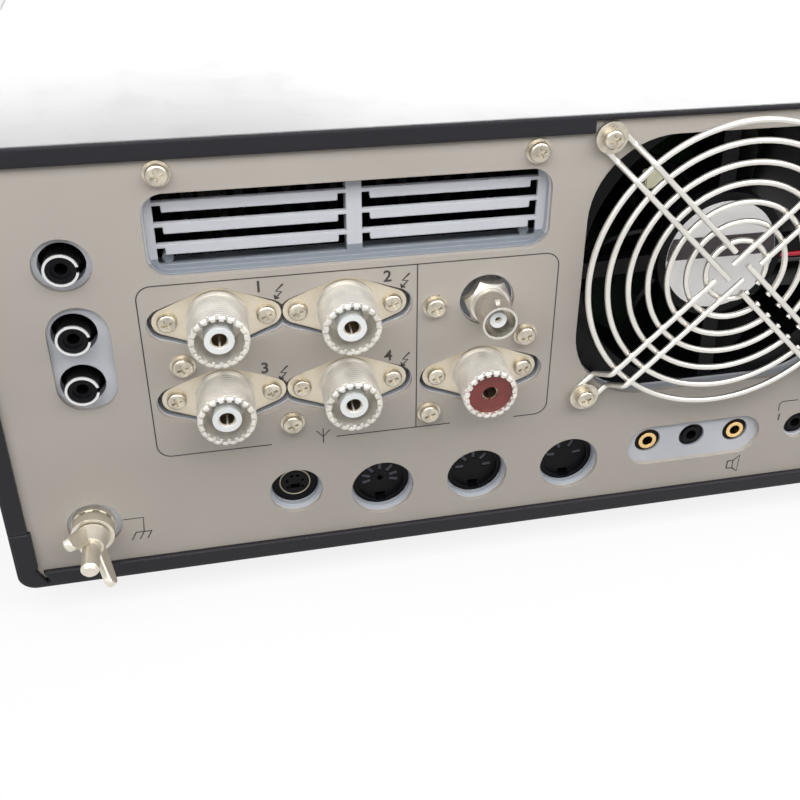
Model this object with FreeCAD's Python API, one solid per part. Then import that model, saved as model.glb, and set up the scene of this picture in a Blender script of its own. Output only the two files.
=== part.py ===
import FreeCAD, Part
import math
import os

# A desktop short-wave transceiver, built as its separate pieces.
# X runs to the right as seen from the front, the front panel faces -Y, and Z is up.
# The origin is under the middle of the set, on the surface that its feet stand on.
# Lengths are in millimetres.

V = FreeCAD.Vector

# Driving dimensions of the case
CASE_WIDTH = 462.0
CASE_HEIGHT = 136.0
FRONT_TO_SKIN = 387.5
FOOT_HEIGHT = 14.0
SHEET = 1.5
SIDE_FLANGE = 5.2
TOP_FLANGE = 5.1
BOTTOM_FLANGE = 5.3
CASE_CORNER = 5.0
UPSTAND_HEIGHT = 15.5
LOWER_FLANGE_EXTRA = 0.7
REAR_REACH = 20.0
FRONT_REACH = 26.0

# Depths of the rear wall, counted outwards from the face of the painted skin
SKIN_BACK = -1.5
LOUVRE_FACE = -4.0
CASTING_BACK = -5.0
SEAT_BACK = -8.0
GROOVE_BACK = -6.6
CASTING_RIM = -22.0

# Places worked out from the dimensions above
HALF_WIDTH = CASE_WIDTH / 2
SKIN_Y = (FRONT_TO_SKIN + FRONT_REACH - REAR_REACH) / 2
FRONT_Y = SKIN_Y - FRONT_TO_SKIN
CASE_BASE = FOOT_HEIGHT
CASE_TOP = FOOT_HEIGHT + CASE_HEIGHT
SKIN_EDGE_X = HALF_WIDTH - SIDE_FLANGE
SKIN_BASE = CASE_BASE + BOTTOM_FLANGE
SKIN_WIDTH = 2 * SKIN_EDGE_X
SKIN_HEIGHT = CASE_HEIGHT - TOP_FLANGE - BOTTOM_FLANGE
LIP = 3.0
BACKWARD = V(0, 1, 0)
FORWARD = V(0, -1, 0)
UPWARD = V(0, 0, 1)
SIDEWAYS = V(1, 0, 0)

# Rear layout: across from the skin's left edge as seen from behind, then up
ANTENNA_COLUMNS = (59.3, 94.2)
ANTENNA_ROWS = (78.6, 53.6)
RECEIVE_ANTENNA = (133.6, 52.6)
RECEIVE_OUTPUT = (134.3, 77.6)
LOUVRE = (43.1, 151.3, 92.7, 116.2)
LOUVRE_CORNER = 6.0
LOUVRE_OPENING = (45.8, 148.4, 94.6, 115.0)
MULLION = (95.4, 99.6)
SLAT_TOPS = (112.3, 106.3, 100.4)
PHONO_PLACES = ((22.4, 98.5), (22.3, 78.1), (22.3, 62.4))
SPARE_PHONO_PLACES = ((286.0, 98.4), (286.0, 78.1), (286.0, 62.4))
PHONO_SLOT = (15.4, 31.4, 54.2, 86.3)
SPARE_PHONO_SLOT = (278.0, 294.0, 54.2, 86.3)
PHONO_WELL_RADIUS = 5.95
GROUND = (18.2, 14.4)
GROUND_CUTOUT = (18.6, 14.4)
ROTATOR = (77.5, 17.6)
DIN_EIGHT = (103.9, 14.6)
DIN_FIVE = (133.9, 14.8)
DIN_FOUR = (164.2, 14.8)
JACK_PLACES = ((191.2, 19.0), (206.6, 19.0), (222.0, 19.0), (244.2, 18.8), (286.0, 18.8), (310.0, 18.8))
JACK_SLOT = (184.0, 230.2, 10.6, 25.3)
FAN_CENTRE = (207.3, 83.1)
FAN_OPENING = (162.2, 252.4, 39.4, 123.6)
FAN_OPENING_CORNER = 24.0
FAN_RELIEF = (161.5, 253.1)
MAINS = (385.0, 435.0, 36.0, 108.0)
PANEL_SCREWS = (
    (48.3, 121.7), (146.4, 121.3), (48.9, 65.9), (77.6, 43.1), (119.2, 77.2), (146.2, 65.2), (117.9, 41.4),
    (270.0, 121.5), (360.0, 121.5), (440.0, 121.5), (330.0, 60.0), (360.0, 12.0), (440.0, 12.0),
)

# Antenna sockets
SHELL_RADIUS = 7.95
SHELL_BORE = 6.5
SHELL_FRONT = 11.8
THREAD_START = 0.4
RIM_CHAMFER = 0.5
INSULATOR_DEPTH = 1.1
FLANGE_FACE = -2.1
FLANGE_THICKNESS = 2.0
FLANGE_PITCH = 26.4
FLANGE_MIDDLE = 9.2
FLANGE_EAR = 4.05
CUTOUT_MIDDLE = 10.0
CUTOUT_EAR = 5.4
RIM_NOTCHES = 20
RIM_NOTCH_WIDTH = 0.9
SOCKET_BACK = -16.0
DIELECTRIC_RADIUS = 3.95
CONTACT_RADIUS = 2.35
CONTACT_BORE = 2.0

# Fan and guard
FAN_SIZE = 92.0
FAN_DEPTH = 25.0
FAN_SCREW_PITCH = 82.5
FAN_FACE = CASTING_BACK
DUCT_RADIUS = 43.6
HUB_BASE_RADIUS = 20.0
HUB_FACE = -4.2
ROTOR_RADIUS = 42.4
ROTOR_HUB = 19.5
BLADE_COUNT = 7
BLADE_SECTIONS = ((18.0, 48.0, 8.6, 0.0), (31.0, 37.0, 11.0, 9.0), (ROTOR_RADIUS, 29.0, 13.0, 20.0))
SHAFT_RADIUS = 2.0
RUNNING_GAP = 0.05
GUARD_RINGS = (45.1, 39.3, 33.1, 27.2, 21.3, 15.4, 9.4)
GUARD_WIRE = 0.87
GUARD_PLANE = 5.7
SPOKE_PLANE = 7.3
EYE_PLANE = GUARD_WIRE
SPOKE_HALF_GAP = 3.3
SPOKE_LONG_END = 0.3
SPOKE_SHORT_END = 6.2
GUARD_GAP_TURN = 315.0
GUARD_STUB_GAP = 1.7
LEAD_RADIUS = 0.8
LEAD_PLUG_TOP = 16.0
LEAD_PLUG_DEPTH = 42.0

# Front layout: across from the middle, then up from the case's base
WINDOW = (-132.0, 72.0, 83.0, 125.0)
MAIN_DIAL = (-8.0, 42.5)
MAIN_DIAL_RADIUS = 35.0
SUB_DIAL = (128.0, 42.5)
SUB_DIAL_RADIUS = 24.0
KNOB_PLACES = {
    "volume_knob": (-160.0, 60.0),
    "squelch_knob": (-160.0, 27.0),
    "filter_knob": (198.0, 102.0),
    "drive_knob": (198.0, 60.0),
}
KNOB_RADIUS = 11.0
KNOB_FRONT = 17.0
BUTTON_PLACES = {
    "mode_button": (-112.0, 62.0),
    "band_down_button": (-112.0, 42.0),
    "band_up_button": (-86.0, 42.0),
    "lock_button": (-112.0, 22.0),
}
BUTTON_WIDTH = 16.0
BUTTON_HEIGHT = 8.0
BUTTON_GAP = 0.3
BUTTON_REACH = 2.6
POWER_BUTTON = (-204.0, 107.0)
MICROPHONE = (-204.0, 28.0)
PHONES = (-204.0, 66.0)
METER_PIVOT = (-93.0, 89.0)
FRONT_DEPTH = 24.0
FRONT_WALL = 4.0
BOARD_FACE = 20.0

os.makedirs("parts", exist_ok=True)
parts = {}


# Basic shapes
def rear(across, up, out=0.0):
    """A point of the rear layout, as a point of the whole set."""
    return V(SKIN_EDGE_X - across, SKIN_Y + out, SKIN_BASE + up)


def front(across, up, deep=0.0):
    """A point of the front layout, counted inwards from the front face."""
    return V(across, FRONT_Y + deep, CASE_BASE + up)


def block(x_span, y_span, z_span):
    corner = V(x_span[0], y_span[0], z_span[0])
    return Part.makeBox(x_span[1] - x_span[0], y_span[1] - y_span[0], z_span[1] - z_span[0], corner)


def rear_rod(place, radius, low, high):
    return Part.makeCylinder(radius, high - low, rear(*place, low), BACKWARD)


def rear_cone(place, low_radius, high_radius, low, high):
    return Part.makeCone(low_radius, high_radius, high - low, rear(*place, low), BACKWARD)


def front_rod(place, radius, shallow, deep):
    return Part.makeCylinder(radius, deep - shallow, front(*place, shallow), BACKWARD)


def front_cone(place, shallow_radius, deep_radius, shallow, deep):
    return Part.makeCone(shallow_radius, deep_radius, deep - shallow, front(*place, shallow), BACKWARD)


def join(shapes):
    return shapes[0].multiFuse(shapes[1:]).removeSplitter()


def group(shapes):
    """Separate solids that share one node."""
    solids = []
    for shape in shapes:
        solids.extend(shape.Solids)
    return Part.makeCompound(solids)


def cut_all(shape, cutters):
    return shape.cut(Part.makeCompound(cutters))


def rounded_outline(x_span, z_span, radius, y):
    """A rectangle with round corners, standing square to Y."""
    x0, x1 = x_span
    z0, z1 = z_span
    bow = radius * (1 - math.sqrt(0.5))
    corners = (
        (V(x1 - radius, y, z0), V(x1 - bow, y, z0 + bow), V(x1, y, z0 + radius)),
        (V(x1, y, z1 - radius), V(x1 - bow, y, z1 - bow), V(x1 - radius, y, z1)),
        (V(x0 + radius, y, z1), V(x0 + bow, y, z1 - bow), V(x0, y, z1 - radius)),
        (V(x0, y, z0 + radius), V(x0 + bow, y, z0 + bow), V(x0 + radius, y, z0)),
    )
    edges = []
    for index, corner in enumerate(corners):
        edges.append(Part.Arc(*corner).toShape())
        following = corners[(index + 1) % 4][0]
        if corner[2].distanceToPoint(following) > 0.001:
            edges.append(Part.LineSegment(corner[2], following).toShape())
    return Part.Wire(edges)


def slab(outline, depth):
    return Part.Face(outline).extrude(V(0, depth, 0))


def rear_slab(spans, radius, low, high):
    """A round-cornered plate of the rear layout, from its low depth to its high one."""
    left, right, bottom, top = spans
    x_span = (SKIN_EDGE_X - right, SKIN_EDGE_X - left)
    z_span = (SKIN_BASE + bottom, SKIN_BASE + top)
    return slab(rounded_outline(x_span, z_span, radius, SKIN_Y + low), high - low)


def front_slab(spans, radius, shallow, deep):
    left, right, bottom, top = spans
    z_span = (CASE_BASE + bottom, CASE_BASE + top)
    return slab(rounded_outline((left, right), z_span, radius, FRONT_Y + shallow), deep - shallow)


def grown(spans, margin):
    left, right, bottom, top = spans
    return (left - margin, right + margin, bottom - margin, top + margin)


def centred(place, width, height):
    return (place[0] - width / 2, place[0] + width / 2, place[1] - height / 2, place[1] + height / 2)


def eared_slab(place, middle, ear, low, high):
    """The outline of a two-hole flange: a round middle drawn out to two round ears."""
    centre = rear(*place, low)
    reach = FLANGE_PITCH / 2
    lean = math.acos((middle - ear) / reach)

    def on_circle(offset, radius, angle):
        return centre + V(offset + radius * math.cos(angle), 0, radius * math.sin(angle))

    turn = math.pi
    stretches = (
        (reach, ear, -lean, lean),
        (0, middle, lean, turn - lean),
        (-reach, ear, turn - lean, turn + lean),
        (0, middle, turn + lean, 2 * turn - lean),
    )
    edges = []
    for index, (offset, radius, start, end) in enumerate(stretches):
        points = [on_circle(offset, radius, angle) for angle in (start, (start + end) / 2, end)]
        edges.append(Part.Arc(*points).toShape())
        next_offset, next_radius, next_start, _ = stretches[(index + 1) % 4]
        edges.append(Part.LineSegment(points[2], on_circle(next_offset, next_radius, next_start)).toShape())
    return slab(Part.Wire(edges), high - low)


def outline_prism(points, direction):
    """A prism on a closed polygon."""
    return Part.Face(Part.makePolygon(list(points) + [points[0]])).extrude(direction)


def bent_path(points, setback_at):
    """Straight runs joined by tangent arcs, each starting at its own setback from the corner."""
    edges = []
    start = points[0]
    for before, corner, after in zip(points, points[1:], points[2:]):
        inward = (before - corner).normalize()
        outward = (after - corner).normalize()
        half_angle = inward.getAngle(outward) / 2
        setback = setback_at(before, corner, after, half_angle)
        radius = setback * math.tan(half_angle)
        middle_line = (inward + outward).normalize()
        first = corner + inward * setback
        last = corner + outward * setback
        crown = corner + middle_line * (radius / math.sin(half_angle) - radius)
        edges.append(Part.LineSegment(start, first).toShape())
        edges.append(Part.Arc(first, crown, last).toShape())
        start = last
    edges.append(Part.LineSegment(start, points[-1]).toShape())
    return edges


def round_bends(points, radius):
    """Every bend has one radius."""
    return bent_path(points, lambda before, corner, after, half_angle: radius / math.tan(half_angle))


def wide_bends(points):
    """Every bend is nearly as wide as its two runs allow."""

    def setback_at(before, corner, after, half_angle):
        return 0.45 * min(before.distanceToPoint(corner), corner.distanceToPoint(after))

    return bent_path(points, setback_at)


def tube_along(edges, radius):
    path = Part.Wire(edges)
    start = path.Edges[0].valueAt(path.Edges[0].FirstParameter)
    heading = path.Edges[0].tangentAt(path.Edges[0].FirstParameter)
    section = Part.Wire(Part.makeCircle(radius, start, heading))
    return path.makePipeShell([section], True, False)


# Case
def case_profile(inset, y, depth):
    """The case's outline from base to top, drawn in by the sheet's thickness where asked."""
    x_span = (inset - HALF_WIDTH, HALF_WIDTH - inset)
    z_span = (CASE_BASE + inset, CASE_TOP - inset)
    return slab(rounded_outline(x_span, z_span, CASE_CORNER - inset, y), depth)


def wrapped_shell(side_margin):
    """Both covers as one sleeve, whose return flange at the rear is widened at the sides by a margin."""
    start = FRONT_Y + FRONT_DEPTH
    length = SKIN_Y - start
    sleeve = case_profile(0, start, length + SHEET)
    sleeve = sleeve.cut(case_profile(SHEET, start, length))
    window = block(
        (side_margin - SKIN_EDGE_X, SKIN_EDGE_X - side_margin),
        (SKIN_Y, SKIN_Y + SHEET),
        (SKIN_BASE, SKIN_BASE + SKIN_HEIGHT),
    )
    return sleeve.cut(window)


def vent_slots():
    """Rows of slots in the top: over the speaker at the front, and before the heat sink at the rear."""
    cutters = []
    slot_length, slot_width, pitch = 34.0, 3.0, 7.0
    for row in range(9):
        y = FRONT_Y + 64 + row * pitch
        for x in (-165.0, -125.0, -85.0):
            cutters.append(block((x, x + slot_length), (y, y + slot_width), (CASE_TOP - 4, CASE_TOP + 1)))
    for row in range(8):
        y = SKIN_Y - 208 + row * pitch
        for x in (62.0, 102.0, 142.0):
            cutters.append(block((x, x + slot_length), (y, y + slot_width), (CASE_TOP - 4, CASE_TOP + 1)))
    return cutters


def make_covers():
    split = SKIN_BASE + UPSTAND_HEIGHT
    whole_x = (-HALF_WIDTH - 1, HALF_WIDTH + 1)
    whole_y = (FRONT_Y, SKIN_Y + SHEET + 1)
    top = wrapped_shell(0.0).cut(block(whole_x, whole_y, (0, split)))
    relief_x = (SKIN_EDGE_X - FAN_RELIEF[1], SKIN_EDGE_X - FAN_RELIEF[0])
    relief_z = (SKIN_BASE + SKIN_HEIGHT - 1, CASE_TOP - SHEET)
    relief = block(relief_x, (SKIN_Y, SKIN_Y + SHEET + 1), relief_z)
    parts["top_cover"] = cut_all(top, [relief] + vent_slots())
    bottom = wrapped_shell(LOWER_FLANGE_EXTRA).cut(block(whole_x, whole_y, (split - 0.4, CASE_TOP + 1)))
    cutters = []
    for side in (-1, 1):
        slit = block((-0.7, 0.7), (0, SHEET), (-4.4, 2.0))
        slit.rotate(V(0, 0, 0), BACKWARD, side * 28.0)
        slit.translate(V(side * (SKIN_EDGE_X - LOWER_FLANGE_EXTRA - 0.6), SKIN_Y, SKIN_BASE))
        cutters.append(slit)
    for column in range(6):
        x = -90.0 + column * 36
        for row in range(5):
            y = row * 14.0
            cutters.append(block((x - 12, x + 12), (y, y + 4), (CASE_BASE - 1, CASE_BASE + SHEET + 1)))
    parts["bottom_cover"] = cut_all(bottom, cutters)


def make_feet():
    """Two front blocks that hold the tilting legs, and two round feet at the rear."""
    shapes = []
    for side in (-1, 1):
        x = side * 188.0
        y = FRONT_Y + 30
        foot = block((x - 17, x + 17), (y, y + 58), (0, CASE_BASE))
        foot = foot.makeFillet(4.0, [edge for edge in foot.Edges if is_upright(edge)])
        slot = block((x - 7.5, x + 7.5), (y + 6, y + 58), (-1, 11))
        pin_hole = Part.makeCylinder(2.0 + RUNNING_GAP, 24, V(x - 12, y + 13, 6.5), SIDEWAYS)
        shapes.append(foot.cut(slot).cut(pin_hole))
        rear_foot = Part.makeCone(11.0, 12.5, CASE_BASE, V(x, SKIN_Y - 36, 0), UPWARD)
        well = Part.makeCylinder(4.5, 8, V(x, SKIN_Y - 36, 0), UPWARD)
        shapes.append(rear_foot.cut(well))
    parts["feet"] = group(shapes)


def is_upright(edge):
    ends = [vertex.Point for vertex in edge.Vertexes]
    return len(ends) == 2 and abs(ends[0].x - ends[1].x) < 0.001 and abs(ends[0].y - ends[1].y) < 0.001


def make_tilt_leg(name, side):
    """A leg that folds out of a front foot on its own pin."""
    x = side * 188.0
    pivot_y = FRONT_Y + 43
    leg = block((x - 6.8, x + 6.8), (pivot_y, pivot_y + 34), (3.0, 10.0))
    knuckle = Part.makeCylinder(3.5, 13.6, V(x - 6.8, pivot_y, 6.5), SIDEWAYS)
    pin = Part.makeCylinder(2.0, 23.6, V(x - 11.8, pivot_y, 6.5), SIDEWAYS)
    toe = Part.makeCylinder(3.5, 13.6, V(x - 6.8, pivot_y + 34, 6.5), SIDEWAYS)
    parts[name] = join([leg, knuckle, pin, toe])


# Rear wall
def socket_places():
    return [(across, up) for up in ANTENNA_ROWS for across in ANTENNA_COLUMNS] + [RECEIVE_ANTENNA]


def skin_cutters():
    """Every opening of the painted skin, from behind its back to in front of its face."""
    low, high = SKIN_BACK - 1, 1.0
    cutters = [
        rear_slab(LOUVRE, LOUVRE_CORNER, low, high),
        rear_slab(FAN_OPENING, FAN_OPENING_CORNER, low, high),
        rear_slab(PHONO_SLOT, 7.9, low, high),
        rear_slab(SPARE_PHONO_SLOT, 7.9, low, high),
        rear_slab(JACK_SLOT, 7.3, low, high),
        rear_slab(grown(MAINS, -3.0), 2.0, low, high),
        rear_rod(PHONO_PLACES[0], 7.4, low, high),
        rear_rod(SPARE_PHONO_PLACES[0], 7.4, low, high),
        rear_rod(GROUND_CUTOUT, 7.7, low, high),
        rear_rod(ROTATOR, 8.0, low, high),
        rear_rod(RECEIVE_OUTPUT, 7.95, low, high),
    ]
    for place in (DIN_EIGHT, DIN_FIVE, DIN_FOUR):
        cutters.append(rear_rod(place, 9.65, low, high))
    for place in JACK_PLACES[3:]:
        cutters.append(rear_rod(place, 5.1, low, high))
    for place in socket_places():
        cutters.append(eared_slab(place, CUTOUT_MIDDLE, CUTOUT_EAR, low, high))
    for place in PANEL_SCREWS:
        cutters.append(rear_rod(place, 1.6, low, high))
    for place in guard_screw_places():
        cutters.append(rear_rod(place, 2.1, low, high))
    return cutters


def guard_screw_places():
    half = FAN_SCREW_PITCH / 2
    corners = ((-1, -1), (-1, 1), (1, -1), (1, 1))
    return [(FAN_CENTRE[0] + across * half, FAN_CENTRE[1] + up * half) for across, up in corners]


def make_rear_panel():
    """The painted skin, which rises under the top cover where the fan guard needs room."""
    outline = (-LIP, SKIN_WIDTH + LIP, -LIP, SKIN_HEIGHT + LIP)
    skin = rear_slab(outline, 2.0, SKIN_BACK, 0)
    parts["rear_panel"] = cut_all(skin, skin_cutters())


def louvre_bars():
    """The casting's grille: a mullion, and three slats on each side of it with a lip along the middle."""
    left, right, bottom, top = LOUVRE_OPENING
    mullion = (MULLION[0], MULLION[1], bottom - 1.0, top + 0.4)
    bars = [rear_slab(mullion, 0.5, LOUVRE_FACE - 5, LOUVRE_FACE)]
    for start, end in ((left, MULLION[0]), (MULLION[1], right)):
        for slat_top in SLAT_TOPS:
            slat = (start - 0.5, end + 0.5, slat_top - 1.0, slat_top)
            lip = (start + 2.2, end - 2.2, slat_top - 2.9, slat_top - 0.5)
            bars.append(rear_slab(slat, 0.4, LOUVRE_FACE - 1.6, LOUVRE_FACE))
            bars.append(rear_slab(lip, 0.4, LOUVRE_FACE - 1.6, LOUVRE_FACE))
    return bars


def louvre_sill():
    """The sloping floor behind the lowest slat, with a small boss at each end."""
    left, right, bottom, top = LOUVRE_OPENING
    profile = ((bottom, -5.0), (bottom - 2.4, -14.0), (bottom - 4.0, -14.0), (bottom - 4.0, -5.0))
    points = [rear(left - 3.8, up, out) for up, out in profile]
    shapes = [outline_prism(points, V(left - right - 7.4, 0, 0))]
    for across in (left + 2.5, right - 2.5):
        shapes.append(rear_rod((across, bottom + 0.9), 1.5, -9.0, -6.5))
        shapes.append(rear_slab((across - 1.0, across + 1.0, bottom - 2.0, bottom + 0.9), 0.3, -8.8, -6.7))
    return shapes


def make_rear_casting():
    """The cast wall behind the skin: a tray with the louvre, the fan opening and every socket's seat."""
    outline = (-2.8, SKIN_WIDTH + 2.8, -2.8, SKIN_HEIGHT + 2.8)
    plate = rear_slab(outline, 2.0, CASTING_RIM, SKIN_BACK)
    hollow = rear_slab(grown(outline, -3.0), 2.0, CASTING_RIM, CASTING_BACK)
    body = join([plate.cut(hollow)] + [socket_seat(place) for place in socket_places()])
    rim, low, high = CASTING_RIM, SEAT_BACK - 1, 1.0
    fan_room = FAN_SIZE / 2 + 1.0
    fan_spans = (FAN_CENTRE[0] - fan_room, FAN_CENTRE[0] + fan_room, SKIN_HEIGHT - 2, SKIN_HEIGHT + 5)
    cutters = [
        rear_slab(grown(LOUVRE, -0.5), LOUVRE_CORNER - 0.5, LOUVRE_FACE, high),
        rear_slab(LOUVRE_OPENING, 1.0, rim, high),
        rear_slab(FAN_OPENING, FAN_OPENING_CORNER, low, high),
        rear_slab(fan_spans, 1.0, rim - 1, CASTING_BACK),
        rear_slab(grown(MAINS, -3.0), 2.0, low, high),
        rear_rod(GROUND, 2.6, low, high),
        rear_rod(ROTATOR, 7.1, low, high),
        rear_cone(ROTATOR, 7.1, 7.9, -2.6, SKIN_BACK),
        rear_rod(RECEIVE_OUTPUT, 7.6, -3.5, high),
        rear_rod(RECEIVE_OUTPUT, 4.9, low, high),
    ]
    for place in PHONO_PLACES + SPARE_PHONO_PLACES:
        cutters.append(rear_rod(place, PHONO_WELL_RADIUS, low, high))
    for place in (DIN_EIGHT, DIN_FIVE, DIN_FOUR):
        cutters.append(rear_rod(place, 8.95, low, high))
        cutters.append(rear_cone(place, 8.95, 9.6, -2.6, SKIN_BACK))
    for place in JACK_PLACES:
        cutters.append(rear_rod(place, 4.35, low, high))
    for place in socket_places():
        cutters.append(rear_rod(place, 7.3, low, high))
        for side in (-1, 1):
            screw = (place[0] + side * FLANGE_PITCH / 2, place[1])
            cutters.append(rear_rod(screw, 1.5, low, high))
    for place in PANEL_SCREWS:
        cutters.append(rear_rod(place, 1.6, low, high))
    for place in guard_screw_places():
        cutters.append(rear_rod(place, 2.1, low, high))
    cutters.append(socket_clearance())
    body = cut_all(body, cutters)
    parts["rear_casting"] = join([body] + louvre_bars() + louvre_sill())


def socket_seat(place):
    """The thicker ground behind one antenna socket's flange."""
    return eared_slab(place, CUTOUT_MIDDLE + 1.6, CUTOUT_EAR + 1.6, SEAT_BACK, CASTING_BACK)


def socket_clearance():
    """The room of the antenna sockets' flanges, with a groove round the ground that each rests on."""
    rest = FLANGE_FACE - FLANGE_THICKNESS
    wells = []
    lands = []
    for place in socket_places():
        wells.append(eared_slab(place, CUTOUT_MIDDLE - 0.2, CUTOUT_EAR - 0.2, GROOVE_BACK, 1.0))
        lands.append(eared_slab(place, FLANGE_MIDDLE - 0.6, FLANGE_EAR - 0.6, GROOVE_BACK - 1, rest))
    return join(wells).cut(Part.makeCompound(lands))


# Antenna sockets
def make_antenna_socket(name, place):
    """A two-hole flange with a collar, and a threaded shell whose chamfered rim is notched all round."""
    flange = eared_slab(place, FLANGE_MIDDLE, FLANGE_EAR, FLANGE_FACE - FLANGE_THICKNESS, FLANGE_FACE)
    collar = rear_rod(place, SHELL_RADIUS + 0.4, FLANGE_FACE, FLANGE_FACE + 0.8)
    neck = rear_rod(place, SHELL_RADIUS - 0.6, FLANGE_FACE, THREAD_START)
    chamfer_start = SHELL_FRONT - RIM_CHAMFER
    shell = rear_rod(place, SHELL_RADIUS, THREAD_START, chamfer_start)
    rim = rear_cone(place, SHELL_RADIUS, SHELL_RADIUS - RIM_CHAMFER, chamfer_start, SHELL_FRONT)
    back = rear_rod(place, 7.0, SOCKET_BACK, FLANGE_FACE)
    body = join([flange, collar, neck, shell, rim, back])
    cutters = [
        rear_rod(place, SHELL_BORE, FLANGE_FACE + 3.0, SHELL_FRONT + 1),
        rear_rod(place, DIELECTRIC_RADIUS, SOCKET_BACK - 1, SHELL_FRONT),
    ]
    for side in (-1, 1):
        cutters.append(rear_rod((place[0] + side * FLANGE_PITCH / 2, place[1]), 1.6, -6, 0))
    centre = rear(*place, SHELL_FRONT)
    for index in range(RIM_NOTCHES // 2):
        corner = V(-SHELL_RADIUS - 1, -1.1, -RIM_NOTCH_WIDTH / 2)
        notch = Part.makeBox(2 * SHELL_RADIUS + 2, 1.2, RIM_NOTCH_WIDTH, corner)
        notch.rotate(V(0, 0, 0), BACKWARD, 360.0 * index / RIM_NOTCHES)
        notch.translate(centre)
        cutters.append(notch)
    parts[name] = cut_all(body, cutters)


def dielectric(place, radius, bore, back, face):
    return rear_rod(place, radius, back, face).cut(rear_rod(place, bore, back - 1, face + 1))


def make_antenna_sockets():
    places = socket_places()
    for index, place in enumerate(places[:4]):
        make_antenna_socket(f"antenna_socket_{index + 1}", place)
    make_antenna_socket("receive_antenna_socket", places[4])
    face = SHELL_FRONT - INSULATOR_DEPTH
    white = []
    for place in places[:4]:
        white.append(dielectric(place, DIELECTRIC_RADIUS, CONTACT_RADIUS, SOCKET_BACK, face))
    white.append(dielectric(RECEIVE_OUTPUT, 2.4, 1.0, -6.0, 12.0))
    parts["socket_insulators"] = group(white)
    brown_disc = rear_rod(places[4], SHELL_BORE, face - 2.5, face)
    brown_core = rear_rod(places[4], DIELECTRIC_RADIUS, SOCKET_BACK, face)
    brown_bore = rear_rod(places[4], CONTACT_RADIUS, SOCKET_BACK - 1, face + 1)
    parts["receive_insulator"] = join([brown_disc, brown_core]).cut(brown_bore)
    contacts = []
    for place in places:
        pin = rear_rod(place, CONTACT_RADIUS, SOCKET_BACK - 4, face - 0.8)
        bore = rear_rod(place, CONTACT_BORE, face - 13, face)
        centre = rear(*place, face)
        height = 2 * CONTACT_RADIUS + 1
        slit = Part.makeBox(0.5, 6.0, height, centre + V(-0.25, -6.0, -height / 2))
        contacts.append(pin.cut(bore).cut(slit))
    output_pin = rear_rod(RECEIVE_OUTPUT, 1.0, -8.0, 10.8).cut(rear_rod(RECEIVE_OUTPUT, 0.65, 5.0, 11.0))
    contacts.append(output_pin)
    parts["socket_contacts"] = group(contacts)


def hexagon(place, across_flats, low, high, turn=0.0):
    corners = []
    for index in range(6):
        angle = math.radians(60 * index + turn)
        reach = across_flats / math.sqrt(3)
        corners.append(rear(*place, low) + V(reach * math.cos(angle), 0, reach * math.sin(angle)))
    return outline_prism(corners, V(0, high - low, 0))


def make_receive_output():
    """The bayonet socket: a domed hexagon nut in the skin's hole and a barrel with two lugs."""
    dome = rear_cone(RECEIVE_OUTPUT, 10.6, 5.6, -3.5, 3.4)
    nut = hexagon(RECEIVE_OUTPUT, 12.3, -3.5, 3.4, 8.0).common(dome)
    barrel = rear_rod(RECEIVE_OUTPUT, 4.95, -3.5, 14.0)
    neck = rear_rod(RECEIVE_OUTPUT, 4.8, -14.0, -3.5)
    centre = rear(*RECEIVE_OUTPUT, 10.0)
    lugs = Part.makeCylinder(1.0, 11.6, centre - V(0, 0, 5.8), UPWARD)
    body = join([nut, barrel, neck, lugs])
    cavity = rear_rod(RECEIVE_OUTPUT, 4.3, 3.0, 15.0)
    bore = rear_rod(RECEIVE_OUTPUT, 2.4, -6.0, 4.0)
    back_bore = rear_rod(RECEIVE_OUTPUT, 1.2, -15.0, -5.0)
    parts["receive_output_socket"] = cut_all(body, [cavity, bore, back_bore])


# Small sockets
def make_phono_jacks():
    """Silver collars on dark insulators, standing in wide holes of the casting."""
    rings = []
    cores = []
    for place in PHONO_PLACES + SPARE_PHONO_PLACES:
        ring = rear_rod(place, 4.45, -8.0, 2.8).cut(rear_rod(place, 3.8, -8.5, 3.5))
        tab = block((-0.9, 0.9), (-4.0, 1.0), (-0.8, 0.8))
        tab.translate(rear(place[0] + 4.2, place[1], 2.8))
        rings.append(ring.cut(tab))
        core = rear_rod(place, 3.8, -8.0, 2.4)
        flange = rear_rod(place, 6.6, -12.0, -8.0)
        bore = rear_rod(place, 1.65, -9.0, 3.0)
        dish = rear_rod(place, 2.6, 1.6, 3.0)
        cores.append(join([core, flange]).cut(bore).cut(dish))
    parts["phono_jacks"] = group(rings)
    parts["phono_insulators"] = group(cores)


def din_body(place, pin_angles):
    """A round socket face, set back in the casting, with a slot for each pin and a key at the foot."""
    body = rear_rod(place, 8.8, -16.0, -4.0)
    recess = rear_rod(place, 7.4, -5.2, -2.0)
    cutters = [recess]
    centre = rear(*place, -5.2)
    for angle in pin_angles:
        slot = Part.makeBox(3.0, 5.0, 1.3, V(2.9, -3.0, -0.65))
        slot.rotate(V(0, 0, 0), BACKWARD, angle)
        slot.translate(centre)
        cutters.append(slot)
    key = block((-1.6, 1.6), (-3.0, 2.0), (-7.9, -5.6))
    key.translate(centre)
    cutters.append(key)
    return cut_all(body, cutters)


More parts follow.
